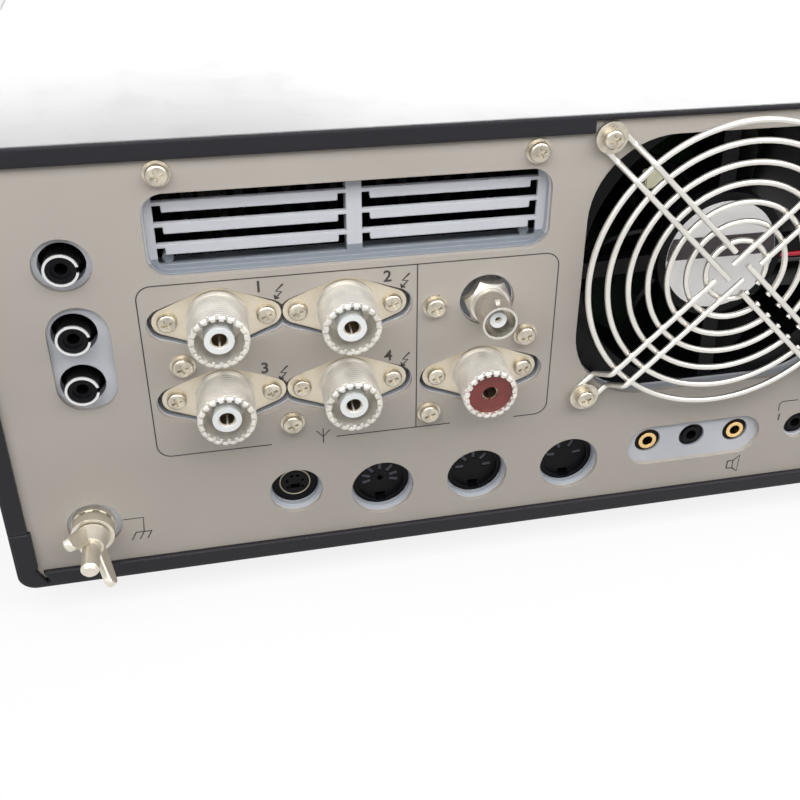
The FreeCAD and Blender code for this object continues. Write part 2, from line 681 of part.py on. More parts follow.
def make_round_sockets():
    eight_pins = [-14, -48, -90, -132, -166, 166, 14]
    five_pins = [0, -45, -90, -135, 180]
    four_pins = [-5, -62, -118, -175]
    eight = din_body(DIN_EIGHT, eight_pins)
    middle_pin = rear_rod(DIN_EIGHT, 0.9, -9.0, -4.0)
    parts["din_socket_8"] = eight.cut(middle_pin)
    parts["din_socket_5"] = din_body(DIN_FIVE, five_pins)
    parts["din_socket_4"] = din_body(DIN_FOUR, four_pins)
    body = rear_rod(ROTATOR, 7.0, -16.0, -4.3)
    ring_slot = rear_rod(ROTATOR, 4.9, -8.0, -2.0).cut(rear_rod(ROTATOR, 4.2, -8.5, -1.5))
    cutters = [ring_slot, rear_slab(centred((ROTATOR[0], ROTATOR[1] - 1.4), 3.0, 1.6), 0.2, -8.0, -2.0)]
    for across, up in ((-2.4, 0.6), (2.4, 0.6), (-0.9, 2.4), (0.9, 2.4), (-2.2, -1.8), (2.2, -1.8)):
        cutters.append(rear_rod((ROTATOR[0] + across, ROTATOR[1] + up), 0.5, -8.0, -2.0))
    parts["rotator_socket"] = cut_all(body, cutters)


def make_mini_jacks():
    """Black jack bodies behind the casting, some with a gilt ring round the bore."""
    bodies = []
    rings = []
    for index, place in enumerate(JACK_PLACES):
        nose = rear_rod(place, 4.25, -5.0, -2.4)
        box_body = rear_slab(centred(place, 10.5, 11.0), 0.5, -17.0, -5.0)
        body = join([nose, box_body])
        if index in (0, 2):
            body = body.cut(rear_rod(place, 3.0, -4.0, -2.0)).cut(rear_rod(place, 1.75, -16.0, -3.0))
            rings.append(rear_rod(place, 3.0, -4.0, -1.4).cut(rear_rod(place, 1.75, -4.5, -1.0)))
        else:
            lip = rear_rod(place, 3.0, -2.4, -1.7)
            body = join([body, lip]).cut(rear_rod(place, 1.75, -16.0, -1.0))
        bodies.append(body)
    parts["mini_jacks"] = group(bodies)
    parts["jack_rings"] = group(rings)


def tapered_lug(first, first_radius, second, second_radius, thickness):
    """A flat lug square to Z: two round ends joined by straight edges, with its rims rounded off."""
    along = second - first
    heading = math.atan2(along.y, along.x)
    lean = math.acos((first_radius - second_radius) / along.Length)

    def on_circle(centre, radius, angle):
        return centre + V(math.cos(angle), math.sin(angle), 0) * radius

    first_arc = [on_circle(first, first_radius, heading + turn) for turn in (lean, math.pi, -lean)]
    second_arc = [on_circle(second, second_radius, heading + turn) for turn in (-lean, 0.0, lean)]
    edges = [
        Part.Arc(*first_arc).toShape(),
        Part.LineSegment(first_arc[2], second_arc[0]).toShape(),
        Part.Arc(*second_arc).toShape(),
        Part.LineSegment(second_arc[2], first_arc[0]).toShape(),
    ]
    lug = Part.Face(Part.Wire(edges)).extrude(V(0, 0, thickness))
    rims = [edge for edge in lug.Edges if edge.BoundBox.ZLength < 0.001]
    return lug.makeFillet(thickness * 0.3, rims)


def make_ground_terminal():
    """A stud through the casting, clamped by a collar on a toothed washer, and its wing nut."""
    stud = rear_rod(GROUND, 2.5, -12.0, 19.0)
    tip = rear_cone(GROUND, 2.5, 1.7, 19.0, REAR_REACH)
    washer = rear_rod(GROUND, 6.2, SKIN_BACK, 0.5)
    teeth = rear_rod(GROUND, 5.9, 0.5, 1.6)
    for index in range(9):
        gap = Part.makeBox(3.0, 1.1, 2.0, V(4.3, 0, -1.0))
        gap.rotate(V(0, 0, 0), BACKWARD, 40.0 * index + 15)
        gap.translate(rear(*GROUND, 0.5))
        teeth = teeth.cut(gap)
    collar = rear_rod(GROUND, 6.1, 1.6, 4.9)
    back_nut = hexagon(GROUND, 8.0, -9.0, CASTING_BACK)
    parts["ground_terminal"] = join([stud, tip, washer, teeth, collar, back_nut])
    hub = rear_cone(GROUND, 4.9, 3.3, 5.3, 9.8)
    wings = []
    for turn in (120.0, 300.0):
        wing = tapered_lug(V(3.4, 8.2, -1.2), 2.7, V(8.6, 15.7, -1.2), 2.1, 2.4)
        wing.rotate(V(0, 0, 0), BACKWARD, turn)
        wing.translate(rear(*GROUND, 0))
        wings.append(wing)
    bore = rear_rod(GROUND, 2.5 + RUNNING_GAP, 4.0, 20.0)
    parts["wing_nut"] = join([hub] + wings).cut(bore)


# Fan
def make_fan():
    """A square fan, blowing outwards, whose struts and lead side face the guard."""
    half = FAN_SIZE / 2
    back = FAN_FACE - FAN_DEPTH
    across, up = FAN_CENTRE
    square = (across - half, across + half, up - half, up + half)
    outer_flange = rear_slab(square, 4.0, FAN_FACE - 4.0, FAN_FACE)
    inner_flange = rear_slab(square, 4.0, back, back + 4.0)
    duct = rear_rod(FAN_CENTRE, 45.8, back, FAN_FACE)
    frame = join([outer_flange, inner_flange, duct]).cut(rear_rod(FAN_CENTRE, DUCT_RADIUS, back - 1, 0))
    holes = [rear_rod(place, 2.1, back - 1, 0) for place in guard_screw_places()]
    frame = cut_all(frame, holes)
    struts = []
    for turn in (0, 90, 180, 270):
        strut = Part.makeBox(DUCT_RADIUS - 10 + 1.2, 3.2, 5.0, V(10, 0, -2.5))
        strut.rotate(V(0, 0, 0), BACKWARD, turn + 3.0)
        strut.translate(rear(across, up, FAN_FACE - 3.6))
        struts.append(strut)
    base = rear_rod(FAN_CENTRE, HUB_BASE_RADIUS, FAN_FACE - 3.6, HUB_FACE)
    bearing = rear_rod(FAN_CENTRE, 5.0, FAN_FACE - 20.0, FAN_FACE - 3.0)
    frame = join([frame, base, bearing] + struts)
    frame = frame.cut(rear_rod(FAN_CENTRE, SHAFT_RADIUS + RUNNING_GAP, FAN_FACE - 21.0, FAN_FACE - 4.2))
    lead_gap = rear_slab((across + 41, across + half + 1, up - 8.0, up + 0.6), 0.2, FAN_FACE - 4.5, 1.0)
    parts["fan_frame"] = frame.cut(lead_gap)


def make_fan_rotor():
    """A hub with swept blades that runs on the frame's bearing."""
    hub_front = FAN_FACE - 4.6
    hub_back = FAN_FACE - FAN_DEPTH + 1.0
    hub = rear_rod(FAN_CENTRE, ROTOR_HUB, hub_back, hub_front)
    hollow = rear_rod(FAN_CENTRE, 16.5, hub_back + 2.5, hub_front + 1)
    shaft = rear_rod(FAN_CENTRE, SHAFT_RADIUS, hub_back, FAN_FACE - 5.0)
    cup = hub.cut(hollow)
    middle = (hub_back + hub_front) / 2
    blades = []
    for index in range(BLADE_COUNT):
        sections = []
        for radius, lean, half_chord, sweep in BLADE_SECTIONS:
            sections.append(blade_section(radius, lean, half_chord, sweep))
        blade = Part.makeLoft(sections, True)
        blade.rotate(V(0, 0, 0), BACKWARD, 360.0 * index / BLADE_COUNT)
        blade.translate(rear(*FAN_CENTRE, middle))
        blades.append(blade.common(rear_rod(FAN_CENTRE, ROTOR_RADIUS, hub_back, hub_front)))
    parts["fan_rotor"] = join([cup, shaft] + blades)


def blade_section(radius, lean, half_chord, sweep):
    """A flat-sided blade section at one radius, leaning over the fan's axis, which is Y here."""
    angle = math.radians(lean)
    along = V(0, math.sin(angle), math.cos(angle))
    thick = V(0, math.cos(angle), -math.sin(angle)) * 0.6
    centre = V(radius, 0, 0)
    corners = [
        centre - along * half_chord - thick,
        centre + along * half_chord - thick,
        centre + along * half_chord + thick,
        centre - along * half_chord + thick,
    ]
    section = Part.makePolygon(corners + [corners[0]])
    section.rotate(V(0, 0, 0), BACKWARD, sweep)
    return section


def guard_point(along, aside, out, turn):
    """A point of the guard in one spoke's own directions, counted from the fan's centre."""
    angle = math.radians(turn)
    across = along * math.cos(angle) - aside * math.sin(angle)
    up = along * math.sin(angle) + aside * math.cos(angle)
    return rear(FAN_CENTRE[0] + across, FAN_CENTRE[1] + up, out)


def guard_ring(radius):
    """A wire ring whose two ends stop inside the lower right-hand pair of spokes."""
    turn = GUARD_GAP_TURN + math.degrees(math.asin(GUARD_STUB_GAP / radius))
    start = guard_point(radius, 0, GUARD_PLANE, turn)
    heading = guard_point(radius, 1, GUARD_PLANE, turn) - start
    section = Part.Face(Part.Wire(Part.makeCircle(GUARD_WIRE, start, heading)))
    sweep = 360.0 - 2 * (turn - GUARD_GAP_TURN)
    return section.revolve(rear(*FAN_CENTRE, GUARD_PLANE), BACKWARD, sweep)


def guard_spoke(turn):
    """A pair of straight wires made from one, bent down to an eye round the guard's screw."""
    screw = FAN_SCREW_PITCH / math.sqrt(2)
    side = SPOKE_HALF_GAP
    bend = [(46.9, SPOKE_PLANE), (51.3, EYE_PLANE), (screw, EYE_PLANE)]
    going_out = [(SPOKE_LONG_END, SPOKE_PLANE)] + bend
    coming_back = bend[::-1] + [(SPOKE_SHORT_END, SPOKE_PLANE)]
    first = [guard_point(along, side, out, turn) for along, out in going_out]
    second = [guard_point(along, -side, out, turn) for along, out in coming_back]
    eye = Part.Arc(first[-1], guard_point(screw + side, 0, EYE_PLANE, turn), second[0]).toShape()
    return tube_along(round_bends(first, 2.2) + [eye] + round_bends(second, 2.2), GUARD_WIRE)


def make_fan_guard():
    """Wire rings welded to four pairs of spokes."""
    rings = [guard_ring(radius) for radius in GUARD_RINGS]
    spokes = [guard_spoke(turn) for turn in (45.0, 135.0, 225.0, 315.0)]
    parts["fan_guard"] = join(rings + spokes)


def make_fan_leads():
    """Two leads from the hub, along a strut and down beside the fan to the plug on the main board."""
    across, up = FAN_CENTRE
    level = up - 2.6
    red = [
        rear(across + HUB_BASE_RADIUS + 0.1, level, -6.2),
        rear(across + 34.0, level - 0.2, -6.2),
        rear(across + 48.6, level - 0.2, -7.4),
        rear(across + 49.4, level - 4.0, -24.0),
        rear(across + 47.5, level - 18.0, -37.0),
        rear(across + 40.0, LEAD_PLUG_TOP + 18.0, -LEAD_PLUG_DEPTH),
        rear(across + 40.0, LEAD_PLUG_TOP, -LEAD_PLUG_DEPTH),
    ]
    beneath = V(0, 0, -1.9)
    beside = V(2.0, 0, 0)
    shifts = [beneath, beneath, beneath, V(0, 1.3, -1.9), V(2.0, 0.8, -0.6), beside, beside]
    black = [point + shift for point, shift in zip(red, shifts)]
    parts["fan_lead_red"] = tube_along(wide_bends(red), LEAD_RADIUS)
    parts["fan_lead_black"] = tube_along(wide_bends(black), LEAD_RADIUS)


# Screws of the rear wall
def pan_screw(place, seat, head_radius, head_height, shank_radius, tip, washer_radius=0.0):
    """A pan-head screw with a cross recess, and a washer under its head where it has one."""
    shapes = []
    low = seat
    if washer_radius:
        shapes.append(rear_rod(place, washer_radius, seat, seat + 0.6))
        low = seat + 0.6
    head = rear_rod(place, head_radius, low, low + head_height)
    outer_rim = [edge for edge in head.Edges if edge.BoundBox.YMin > head.BoundBox.Center.y]
    head = head.makeFillet(head_height * 0.45, outer_rim)
    top = rear(*place, low + head_height)
    for turn in (20.0, 110.0):
        bar = Part.makeBox(head_radius * 1.1, 1.0, 0.8, V(-head_radius * 0.55, -0.9, -0.4))
        bar.rotate(V(0, 0, 0), BACKWARD, turn)
        bar.translate(top)
        head = head.cut(bar)
    shapes.append(head)
    shapes.append(rear_rod(place, shank_radius, tip, low + 0.1))
    return join(shapes)


def make_screws():
    screws = [pan_screw(place, 0.0, 2.9, 1.9, 1.5, -9.0, 3.5) for place in PANEL_SCREWS]
    for place in socket_places():
        for side in (-1, 1):
            across = place[0] + side * FLANGE_PITCH / 2
            screws.append(pan_screw((across, place[1]), FLANGE_FACE, 2.7, 1.8, 1.4, -10.0))
    screws += [pan_screw(place, 2 * EYE_PLANE, 2.8, 2.2, 1.9, -12.0, 4.5) for place in guard_screw_places()]
    parts["rear_screws"] = group(screws)


# Mains inlet, drawer and switch
def make_mains():
    """The moulded inlet with its three blades, the fuse drawer above it and the rocker switch on top."""
    left, right, bottom, top = MAINS
    middle = (left + right) / 2
    plate = rear_slab(MAINS, 3.0, 0, 2.4)
    body = rear_slab(grown(MAINS, -3.2), 2.0, -26.0, 0)
    shape = join([plate, body])
    inlet = centred((middle, bottom + 17), 24.5, 17.0)
    drawer = centred((middle, bottom + 35), 27.0, 9.6)
    rocker = centred((middle, bottom + 57), 14.0, 20.6)
    cutters = [rear_slab(inlet, 2.5, -16.0, 3.0)]
    cutters.append(rear_slab(drawer, 0.8, -18.0, 3.0))
    cutters.append(rear_slab(rocker, 0.8, -14.0, 3.0))
    shape = cut_all(shape, cutters)
    blades = []
    for across, up in ((-7.0, -2.0), (7.0, -2.0), (0.0, 2.2)):
        blade = centred((middle + across, bottom + 17 + up), 2.0, 4.0)
        blades.append(rear_slab(blade, 0.3, -16.5, -6.0))
    parts["mains_inlet"] = join([shape] + blades)
    slide = centred((middle, bottom + 35), 26.4, 9.0)
    drawer_body = rear_slab(slide, 0.6, -17.5, 2.4)
    finger_notch = rear_slab(centred((middle, bottom + 31.5), 8.0, 3.0), 0.6, 1.0, 3.0)
    parts["fuse_drawer"] = drawer_body.cut(finger_notch)
    pivot = rear(middle, bottom + 57, -4.0)
    drum = Part.makeCylinder(10.0, 13.4, V(-6.7, 0, 0), SIDEWAYS)
    above_face = Part.makeBox(16, 12, 30, V(-8, 6.3, -15))
    above_face.rotate(V(0, 0, 0), SIDEWAYS, -10.0)
    behind = block((-8, 8), (-12, -3), (-15, 15))
    trunnion = Part.makeCylinder(1.2, 16.4, V(-8.2, 0, 0), SIDEWAYS)
    rocker_body = join([cut_all(drum, [above_face, behind]), trunnion])
    rocker_body.translate(pivot)
    parts["mains_rocker"] = rocker_body
    seat = Part.makeCylinder(1.2 + RUNNING_GAP, 17.0, pivot - V(8.5, 0, 0), SIDEWAYS)
    parts["mains_inlet"] = parts["mains_inlet"].cut(seat)


# Inside
def make_inside():
    """The frame and the large assemblies that the vents and openings let one see or guess."""
    floor_z = CASE_BASE + SHEET
    floor = block((-224, 224), (FRONT_Y + 30, SKIN_Y - 24), (floor_z, floor_z + 2))
    walls = [
        block((side * 225 - 1, side * 225 + 1), (FRONT_Y + 30, SKIN_Y - 24), (floor_z, CASE_TOP - 14))
        for side in (-1, 1)
    ]
    bulkhead = block((-224, 224), (FRONT_Y + 30, FRONT_Y + 32), (floor_z, CASE_TOP - 14))
    chassis = join([floor, bulkhead] + walls)
    cutters = [block((-150, 150), (FRONT_Y + 29, FRONT_Y + 33), (floor_z + 20, CASE_TOP - 30))]
    for x in (-170.0, -60.0, 60.0, 170.0):
        cutters.append(Part.makeCylinder(14, 10, V(x, 60, floor_z - 4), UPWARD))
    parts["chassis"] = cut_all(chassis, cutters)
    parts["heat_sink"] = make_heat_sink(floor_z + 2)
    parts["main_board"] = make_main_board(floor_z + 2)
    parts["power_supply"] = make_power_supply(floor_z + 2)
    parts["speaker"] = make_speaker()
    parts["front_board"] = make_front_board()


def make_heat_sink(base):
    """Upright fins on a thick base, in the path of the fan and behind the louvre."""
    left, right = SKIN_EDGE_X - 152, SKIN_EDGE_X - 40
    shapes = [block((left, right), (SKIN_Y - 150, SKIN_Y - 34), (base + 8, base + 18))]
    count = 17
    pitch = (right - left - 2.4) / (count - 1)
    for index in range(count):
        x = left + index * pitch
        shapes.append(block((x, x + 2.4), (SKIN_Y - 150, SKIN_Y - 34), (base + 17.5, CASE_TOP - 12)))
    for x in (left + 6, right - 14):
        shapes.append(block((x, x + 8), (SKIN_Y - 140, SKIN_Y - 44), (base, base + 8)))
    return join(shapes)


def make_main_board(base):
    """The large board on its pillars, with two screening cans and the fan's plug."""
    level = base + 4
    board = block((-105, 60), (-110, 176), (level, level + 1.6))
    cans = [
        block((-95, -25), (-95, -20), (level + 1.6, level + 22)),
        block((-12, 50), (-95, 10), (level + 1.6, level + 18)),
        block((-95, -30), (0, 90), (level + 1.6, level + 20)),
    ]
    plug_x = SKIN_EDGE_X - FAN_CENTRE[0] - 39.0
    plug_y = SKIN_Y - LEAD_PLUG_DEPTH
    plug_z = (level + 1.6, SKIN_BASE + LEAD_PLUG_TOP)
    plug = block((plug_x - 5, plug_x + 5), (plug_y - 3, plug_y + 3), plug_z)
    pillars = [
        Part.makeCylinder(3, 4, V(x, y, base), UPWARD)
        for x in (-98.0, 52.0)
        for y in (-102.0, 30.0, 168.0)
    ]
    return join([board, plug] + cans + pillars)


def make_power_supply(base):
    """A closed box beside the mains inlet."""
    box = block((-216, -125), (30, 164), (base, base + 96))
    return box.makeFillet(2.0, [edge for edge in box.Edges if is_upright(edge)])


def make_speaker():
    """A round loudspeaker under the front slots of the top cover."""
    centre = V(-108.0, FRONT_Y + 92, 0)
    top = CASE_TOP - SHEET
    ring = Part.makeCylinder(38, 3, centre + V(0, 0, top - 3), UPWARD)
    basket = Part.makeCone(20, 35, 16, centre + V(0, 0, top - 19), UPWARD)
    magnet = Part.makeCylinder(22, 12, centre + V(0, 0, top - 31), UPWARD)
    cone = Part.makeCone(9, 32, 13, centre + V(0, 0, top - 13), UPWARD)
    dust_cap = Part.makeSphere(9.0, centre + V(0, 0, top - 15))
    return join([join([ring, basket, magnet]).cut(cone), dust_cap])


def control_places():
    """Each rotary control with its bush radius and shaft radius."""
    places = [(MAIN_DIAL, 6.5, 4.0), (SUB_DIAL, 5.5, 3.0)]
    places += [(place, 4.5, 3.0) for place in KNOB_PLACES.values()]
    return places


def make_front_board():
    """The board behind the front panel, with a switch under each button."""
    board = front_slab((-222.0, 222.0, 8.0, 128.0), 3.0, BOARD_FACE, BOARD_FACE + 1.6)
    meter_gap = front_slab((-128.0, -58.0, 81.0, 127.0), 1.0, BOARD_FACE - 1, BOARD_FACE + 3)
    cutters = [meter_gap]
    for place, bush, shaft in control_places():
        cutters.append(front_rod(place, shaft + 1.0, BOARD_FACE - 1, BOARD_FACE + 3))
    for place in (MICROPHONE, PHONES):
        cutters.append(front_rod(place, 11.0, BOARD_FACE - 1, BOARD_FACE + 3))
    switches = []
    for place in list(BUTTON_PLACES.values()) + [POWER_BUTTON]:
        switches.append(front_slab(centred(place, 6.0, 6.0), 0.3, 15.5, BOARD_FACE + 0.5))
    return join([cut_all(board, cutters)] + switches)


# Front
def make_front_panel():
    """The moulded front: a shallow tray with a framed window, dished seats and its controls' openings."""
    outline = (-HALF_WIDTH, HALF_WIDTH, 0.0, CASE_HEIGHT)
    body = front_slab(outline, 6.0, 0, FRONT_DEPTH)
    rim = [
        edge for edge in body.Edges
        if abs(edge.BoundBox.YMin - FRONT_Y) < 0.01 and abs(edge.BoundBox.YMax - FRONT_Y) < 0.01
    ]
    body = body.makeFillet(3.0, rim)
    hollow = front_slab(grown(outline, -3.5), 3.0, FRONT_WALL, FRONT_DEPTH + 1)
    cutters = [
        hollow,
        front_slab(WINDOW, 5.0, -1, FRONT_WALL + 1),
        front_slab(grown(WINDOW, 3.0), 7.0, -1, 1.2),
        front_rod(MAIN_DIAL, MAIN_DIAL_RADIUS + 3.5, -1, 1.5),
        front_rod(SUB_DIAL, SUB_DIAL_RADIUS + 3.0, -1, 1.5),
        front_rod(POWER_BUTTON, 6.8, -1, FRONT_WALL + 1),
        front_rod(MICROPHONE, 8.1, -1, FRONT_WALL + 1),
        front_rod(PHONES, 5.1, -1, FRONT_WALL + 1),
    ]
    for place, bush, shaft in control_places():
        cutters.append(front_rod(place, bush + 0.2, -1, FRONT_WALL + 1))
    for place in BUTTON_PLACES.values():
        opening = centred(place, BUTTON_WIDTH + 2 * BUTTON_GAP, BUTTON_HEIGHT + 2 * BUTTON_GAP)
        cutters.append(front_slab(opening, 1.8, -1, FRONT_WALL + 1))
    parts["front_panel"] = cut_all(body, cutters)


def make_controls():
    """Encoder and potentiometer bodies on the board, each with the bush that its shaft runs in."""
    shapes = []
    for place, bush, shaft in control_places():
        size = 26.0 if shaft > 3.5 else 16.0
        case = front_slab(centred(place, size, size), 1.0, 12.0, BOARD_FACE)
        neck = front_rod(place, bush, -2.5, 12.5)
        bore = front_rod(place, shaft + RUNNING_GAP, -3.5, BOARD_FACE - 1)
        shapes.append(join([case, neck]).cut(bore))
    parts["control_bushings"] = group(shapes)


def turned_knob(place, radius, reach, shaft, bush, back_gap, waist):
    """A knob of revolution with a softened rim, hollow behind for the bush, on its own shaft."""
    bevel = 1.2
    skirt = front_rod(place, radius, -reach * 0.45, -back_gap)
    barrel = front_rod(place, waist, -reach + bevel, -back_gap)
    nose = front_cone(place, waist - bevel, waist, -reach, -reach + bevel)
    knob = join([skirt, barrel, nose])
    knob = knob.cut(front_rod(place, bush + 1.2, -4.2, -back_gap + 1))
    spindle = front_rod(place, shaft, -4.4, BOARD_FACE - 2)
    return join([knob, spindle])


def make_dials_and_knobs():
    """The weighted main dial with its finger dimple, the smaller dial, and the knobs."""
    dial = turned_knob(MAIN_DIAL, MAIN_DIAL_RADIUS, FRONT_REACH, 4.0, 6.5, 1.0, MAIN_DIAL_RADIUS - 2.0)
    dimple_centre = front(MAIN_DIAL[0] + 17, MAIN_DIAL[1] + 12, -FRONT_REACH - 7.5)
    dial = dial.cut(Part.makeSphere(10.5, dimple_centre))
    dish = front_cone(MAIN_DIAL, 8.5, 6.5, -FRONT_REACH - 0.01, -FRONT_REACH + 1.2)
    parts["main_dial"] = dial.cut(dish)
    small = turned_knob(SUB_DIAL, SUB_DIAL_RADIUS, 20.0, 3.0, 5.5, 1.0, SUB_DIAL_RADIUS - 1.5)
    dimple = Part.makeSphere(7.5, front(SUB_DIAL[0] + 12, SUB_DIAL[1] + 7, -20.0 - 5.2))
    parts["sub_dial"] = small.cut(dimple)
    for name, place in KNOB_PLACES.items():
        knob = turned_knob(place, KNOB_RADIUS, KNOB_FRONT, 3.0, 4.5, 1.0, KNOB_RADIUS - 1.5)
        groove = centred((place[0], place[1] + 7.0), 1.2, 8.0)
        parts[name] = knob.cut(front_slab(groove, 0.3, -KNOB_FRONT - 1, -KNOB_FRONT + 0.6))


def make_buttons():
    """Push buttons that stand through the panel and are kept in by a flange behind it."""
    for name, place in BUTTON_PLACES.items():
        spans = centred(place, BUTTON_WIDTH, BUTTON_HEIGHT)
        cap = front_slab(spans, 1.5, -BUTTON_REACH, FRONT_WALL + 1.4)
        flange = front_slab(grown(spans, 1.5), 1.5, FRONT_WALL + 0.3, FRONT_WALL + 1.8)
        stem = front_rod(place, 2.0, FRONT_WALL + 1.5, 13.4)
        parts[name] = join([cap, flange, stem])
    cap = front_rod(POWER_BUTTON, 6.5, -4.0, FRONT_WALL + 1.4)
    flange = front_rod(POWER_BUTTON, 8.5, FRONT_WALL + 0.3, FRONT_WALL + 1.8)
    stem = front_rod(POWER_BUTTON, 2.0, FRONT_WALL + 1.5, 12.9)
    dish = Part.makeSphere(14.0, front(*POWER_BUTTON, -4.0 - 13.2))
    parts["power_button"] = join([cap, flange, stem]).cut(dish)


def make_window_and_meter():
    """One tinted window over the meter and the display."""
    lens = front_slab(grown(WINDOW, -0.15), 4.85, 0.9, FRONT_WALL)
    flange = front_slab(grown(WINDOW, 3.0), 5.0, FRONT_WALL, FRONT_WALL + 1.5)
    parts["display_window"] = join([lens, flange])
    parts["display_module"] = front_slab((-48.0, 66.0, 86.0, 122.0), 1.0, 8.0, 18.0)
    case = front_slab((-126.0, -60.0, 84.0, 124.0), 1.5, 9.0, 30.0)
    bore = front_rod(METER_PIVOT, 0.8 + RUNNING_GAP, 8.0, 14.0)
    parts["meter_movement"] = case.cut(bore)
    hub = front_rod(METER_PIVOT, 2.2, 7.0, 8.6)
    pin = front_rod(METER_PIVOT, 0.8, 8.0, 13.0)
    outline = ((-0.6, -6.0), (0.6, -6.0), (0.25, 30.0), (-0.25, 30.0))
    points = [front(METER_PIVOT[0] + x, METER_PIVOT[1] + z, 7.6) for x, z in outline]
    pointer = outline_prism(points, V(0, 0.5, 0))
    pointer.rotate(front(*METER_PIVOT, 0), BACKWARD, -42.0)
    parts["meter_needle"] = join([hub, pin, pointer])


def make_front_sockets():
    """The round microphone socket with its pins, and the headphone jack."""
    body = join([front_rod(MICROPHONE, 8.0, -2.0, 16.0), front_rod(MICROPHONE, 10.0, -2.0, 0)])
    body = body.cut(front_rod(MICROPHONE, 6.8, -3.0, 7.0))
    pins = []
    for index in range(7):
        angle = 2 * math.pi * index / 7
        place = (MICROPHONE[0] + 4.2 * math.cos(angle), MICROPHONE[1] + 4.2 * math.sin(angle))
        pins.append(front_rod(place, 0.7, 3.6, 7.5))
    pins.append(front_rod(MICROPHONE, 0.7, 3.6, 7.5))
    parts["microphone_socket"] = join([body] + pins)
    neck = join([
        front_rod(PHONES, 5.0, -1.5, 12.0),
        front_rod(PHONES, 7.6, -1.5, 0),
        front_slab(centred(PHONES, 16.0, 16.0), 1.0, 9.0, 28.0),
    ])
    parts["phones_jack"] = neck.cut(front_rod(PHONES, 3.2, -2.5, 26.0))


make_covers()
make_feet()
make_tilt_leg("tilt_leg_left", -1)
make_tilt_leg("tilt_leg_right", 1)
make_rear_panel()
make_rear_casting()
make_antenna_sockets()
make_receive_output()
make_phono_jacks()
make_round_sockets()
make_mini_jacks()
make_ground_terminal()
make_fan()
make_fan_rotor()
make_fan_guard()
make_fan_leads()
make_screws()
make_mains()
make_inside()
make_front_panel()
make_controls()
make_dials_and_knobs()
make_buttons()
make_window_and_meter()
make_front_sockets()

for node, shape in parts.items():
    shape.exportStep(f"parts/{node}.step")
print(len(parts), "nodes")
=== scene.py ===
"""An HF transceiver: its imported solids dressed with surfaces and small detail, and the photo's view."""

import math

import bmesh
import bpy
from mathutils import Matrix, Vector


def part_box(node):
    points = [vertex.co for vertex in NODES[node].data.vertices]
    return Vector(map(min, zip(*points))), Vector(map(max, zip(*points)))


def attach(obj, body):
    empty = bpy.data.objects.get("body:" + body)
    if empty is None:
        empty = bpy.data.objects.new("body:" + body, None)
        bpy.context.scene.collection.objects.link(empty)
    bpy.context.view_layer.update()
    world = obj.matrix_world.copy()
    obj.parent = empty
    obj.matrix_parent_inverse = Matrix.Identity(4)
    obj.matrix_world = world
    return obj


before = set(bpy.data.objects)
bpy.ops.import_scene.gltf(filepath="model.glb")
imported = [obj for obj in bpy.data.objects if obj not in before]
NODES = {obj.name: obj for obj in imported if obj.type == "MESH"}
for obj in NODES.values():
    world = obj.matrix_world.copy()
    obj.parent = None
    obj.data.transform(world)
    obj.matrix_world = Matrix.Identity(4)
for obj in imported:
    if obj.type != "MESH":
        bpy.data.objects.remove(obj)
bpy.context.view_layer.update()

MM = 0.001

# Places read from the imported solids
SKIN_LIP = 3.0 * MM
SKIN_LOW, SKIN_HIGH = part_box("rear_panel")
SKIN_Y = SKIN_HIGH.y
SKIN_EDGE_X = SKIN_HIGH.x - SKIN_LIP
SKIN_BASE = SKIN_LOW.z + SKIN_LIP
FRONT_LOW, FRONT_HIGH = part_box("front_panel")
FRONT_Y = FRONT_LOW.y
CASE_BASE = FRONT_LOW.z


def middle_of(node):
    """The middle of a node's box."""
    low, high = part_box(node)
    return (low + high) / 2


def rear(across, up, out=0.0):
    """A point of the rear wall, in millimetres from the skin's lower left corner as seen from behind."""
    return Vector((SKIN_EDGE_X - across * MM, SKIN_Y + out * MM, SKIN_BASE + up * MM))


def front(across, up, deep):
    """A point of the front, in millimetres from the middle of its lower edge."""
    return Vector((across * MM, FRONT_Y + deep * MM, CASE_BASE + up * MM))


# Rear wall places and sizes in millimetres, as on the solids
ANTENNAS = ((59.3, 78.6), (94.2, 78.6), (59.3, 53.6), (94.2, 53.6))
RECEIVE_ANTENNA = (133.6, 52.6)
FAN_CENTRE = (207.3, 83.1)
ROTATOR = (77.5, 17.6)
# Each round socket's place, and the turns of its contact blades in degrees
ROUND_SOCKETS = (
    ((103.9, 14.6), (-14, -48, -90, -132, -166, 166, 14)), ((133.9, 14.8), (0, -45, -90, -135, 180)),
    ((164.2, 14.8), (-5, -62, -118, -175)),
)
# A contact blade's left, right, bottom and top before it is turned
PIN_OUTLINE = (3.1, 5.7, -0.5, 0.5)
PIN_THICKNESS = 0.5
PIN_DEPTH = -5.9
ROTATOR_RING_RADIUS = 4.55
ROTATOR_RING_DEPTH = -4.6
THREAD_TURNS = 10
THREAD_FIRST = 0.9
THREAD_RADIUS = 7.85
HUB_FACE_DEPTH = -4.2
HUB_LABEL_RADIUS = 17.4
HUB_LABEL_THICKNESS = 0.12
HUB_BAND = (-0.5, 6.5)
CORNER_PAD_PLACE = (183.6, 108.2, -7.0)
CORNER_PAD_SIZE = (5.6, 2.6, 5.6)

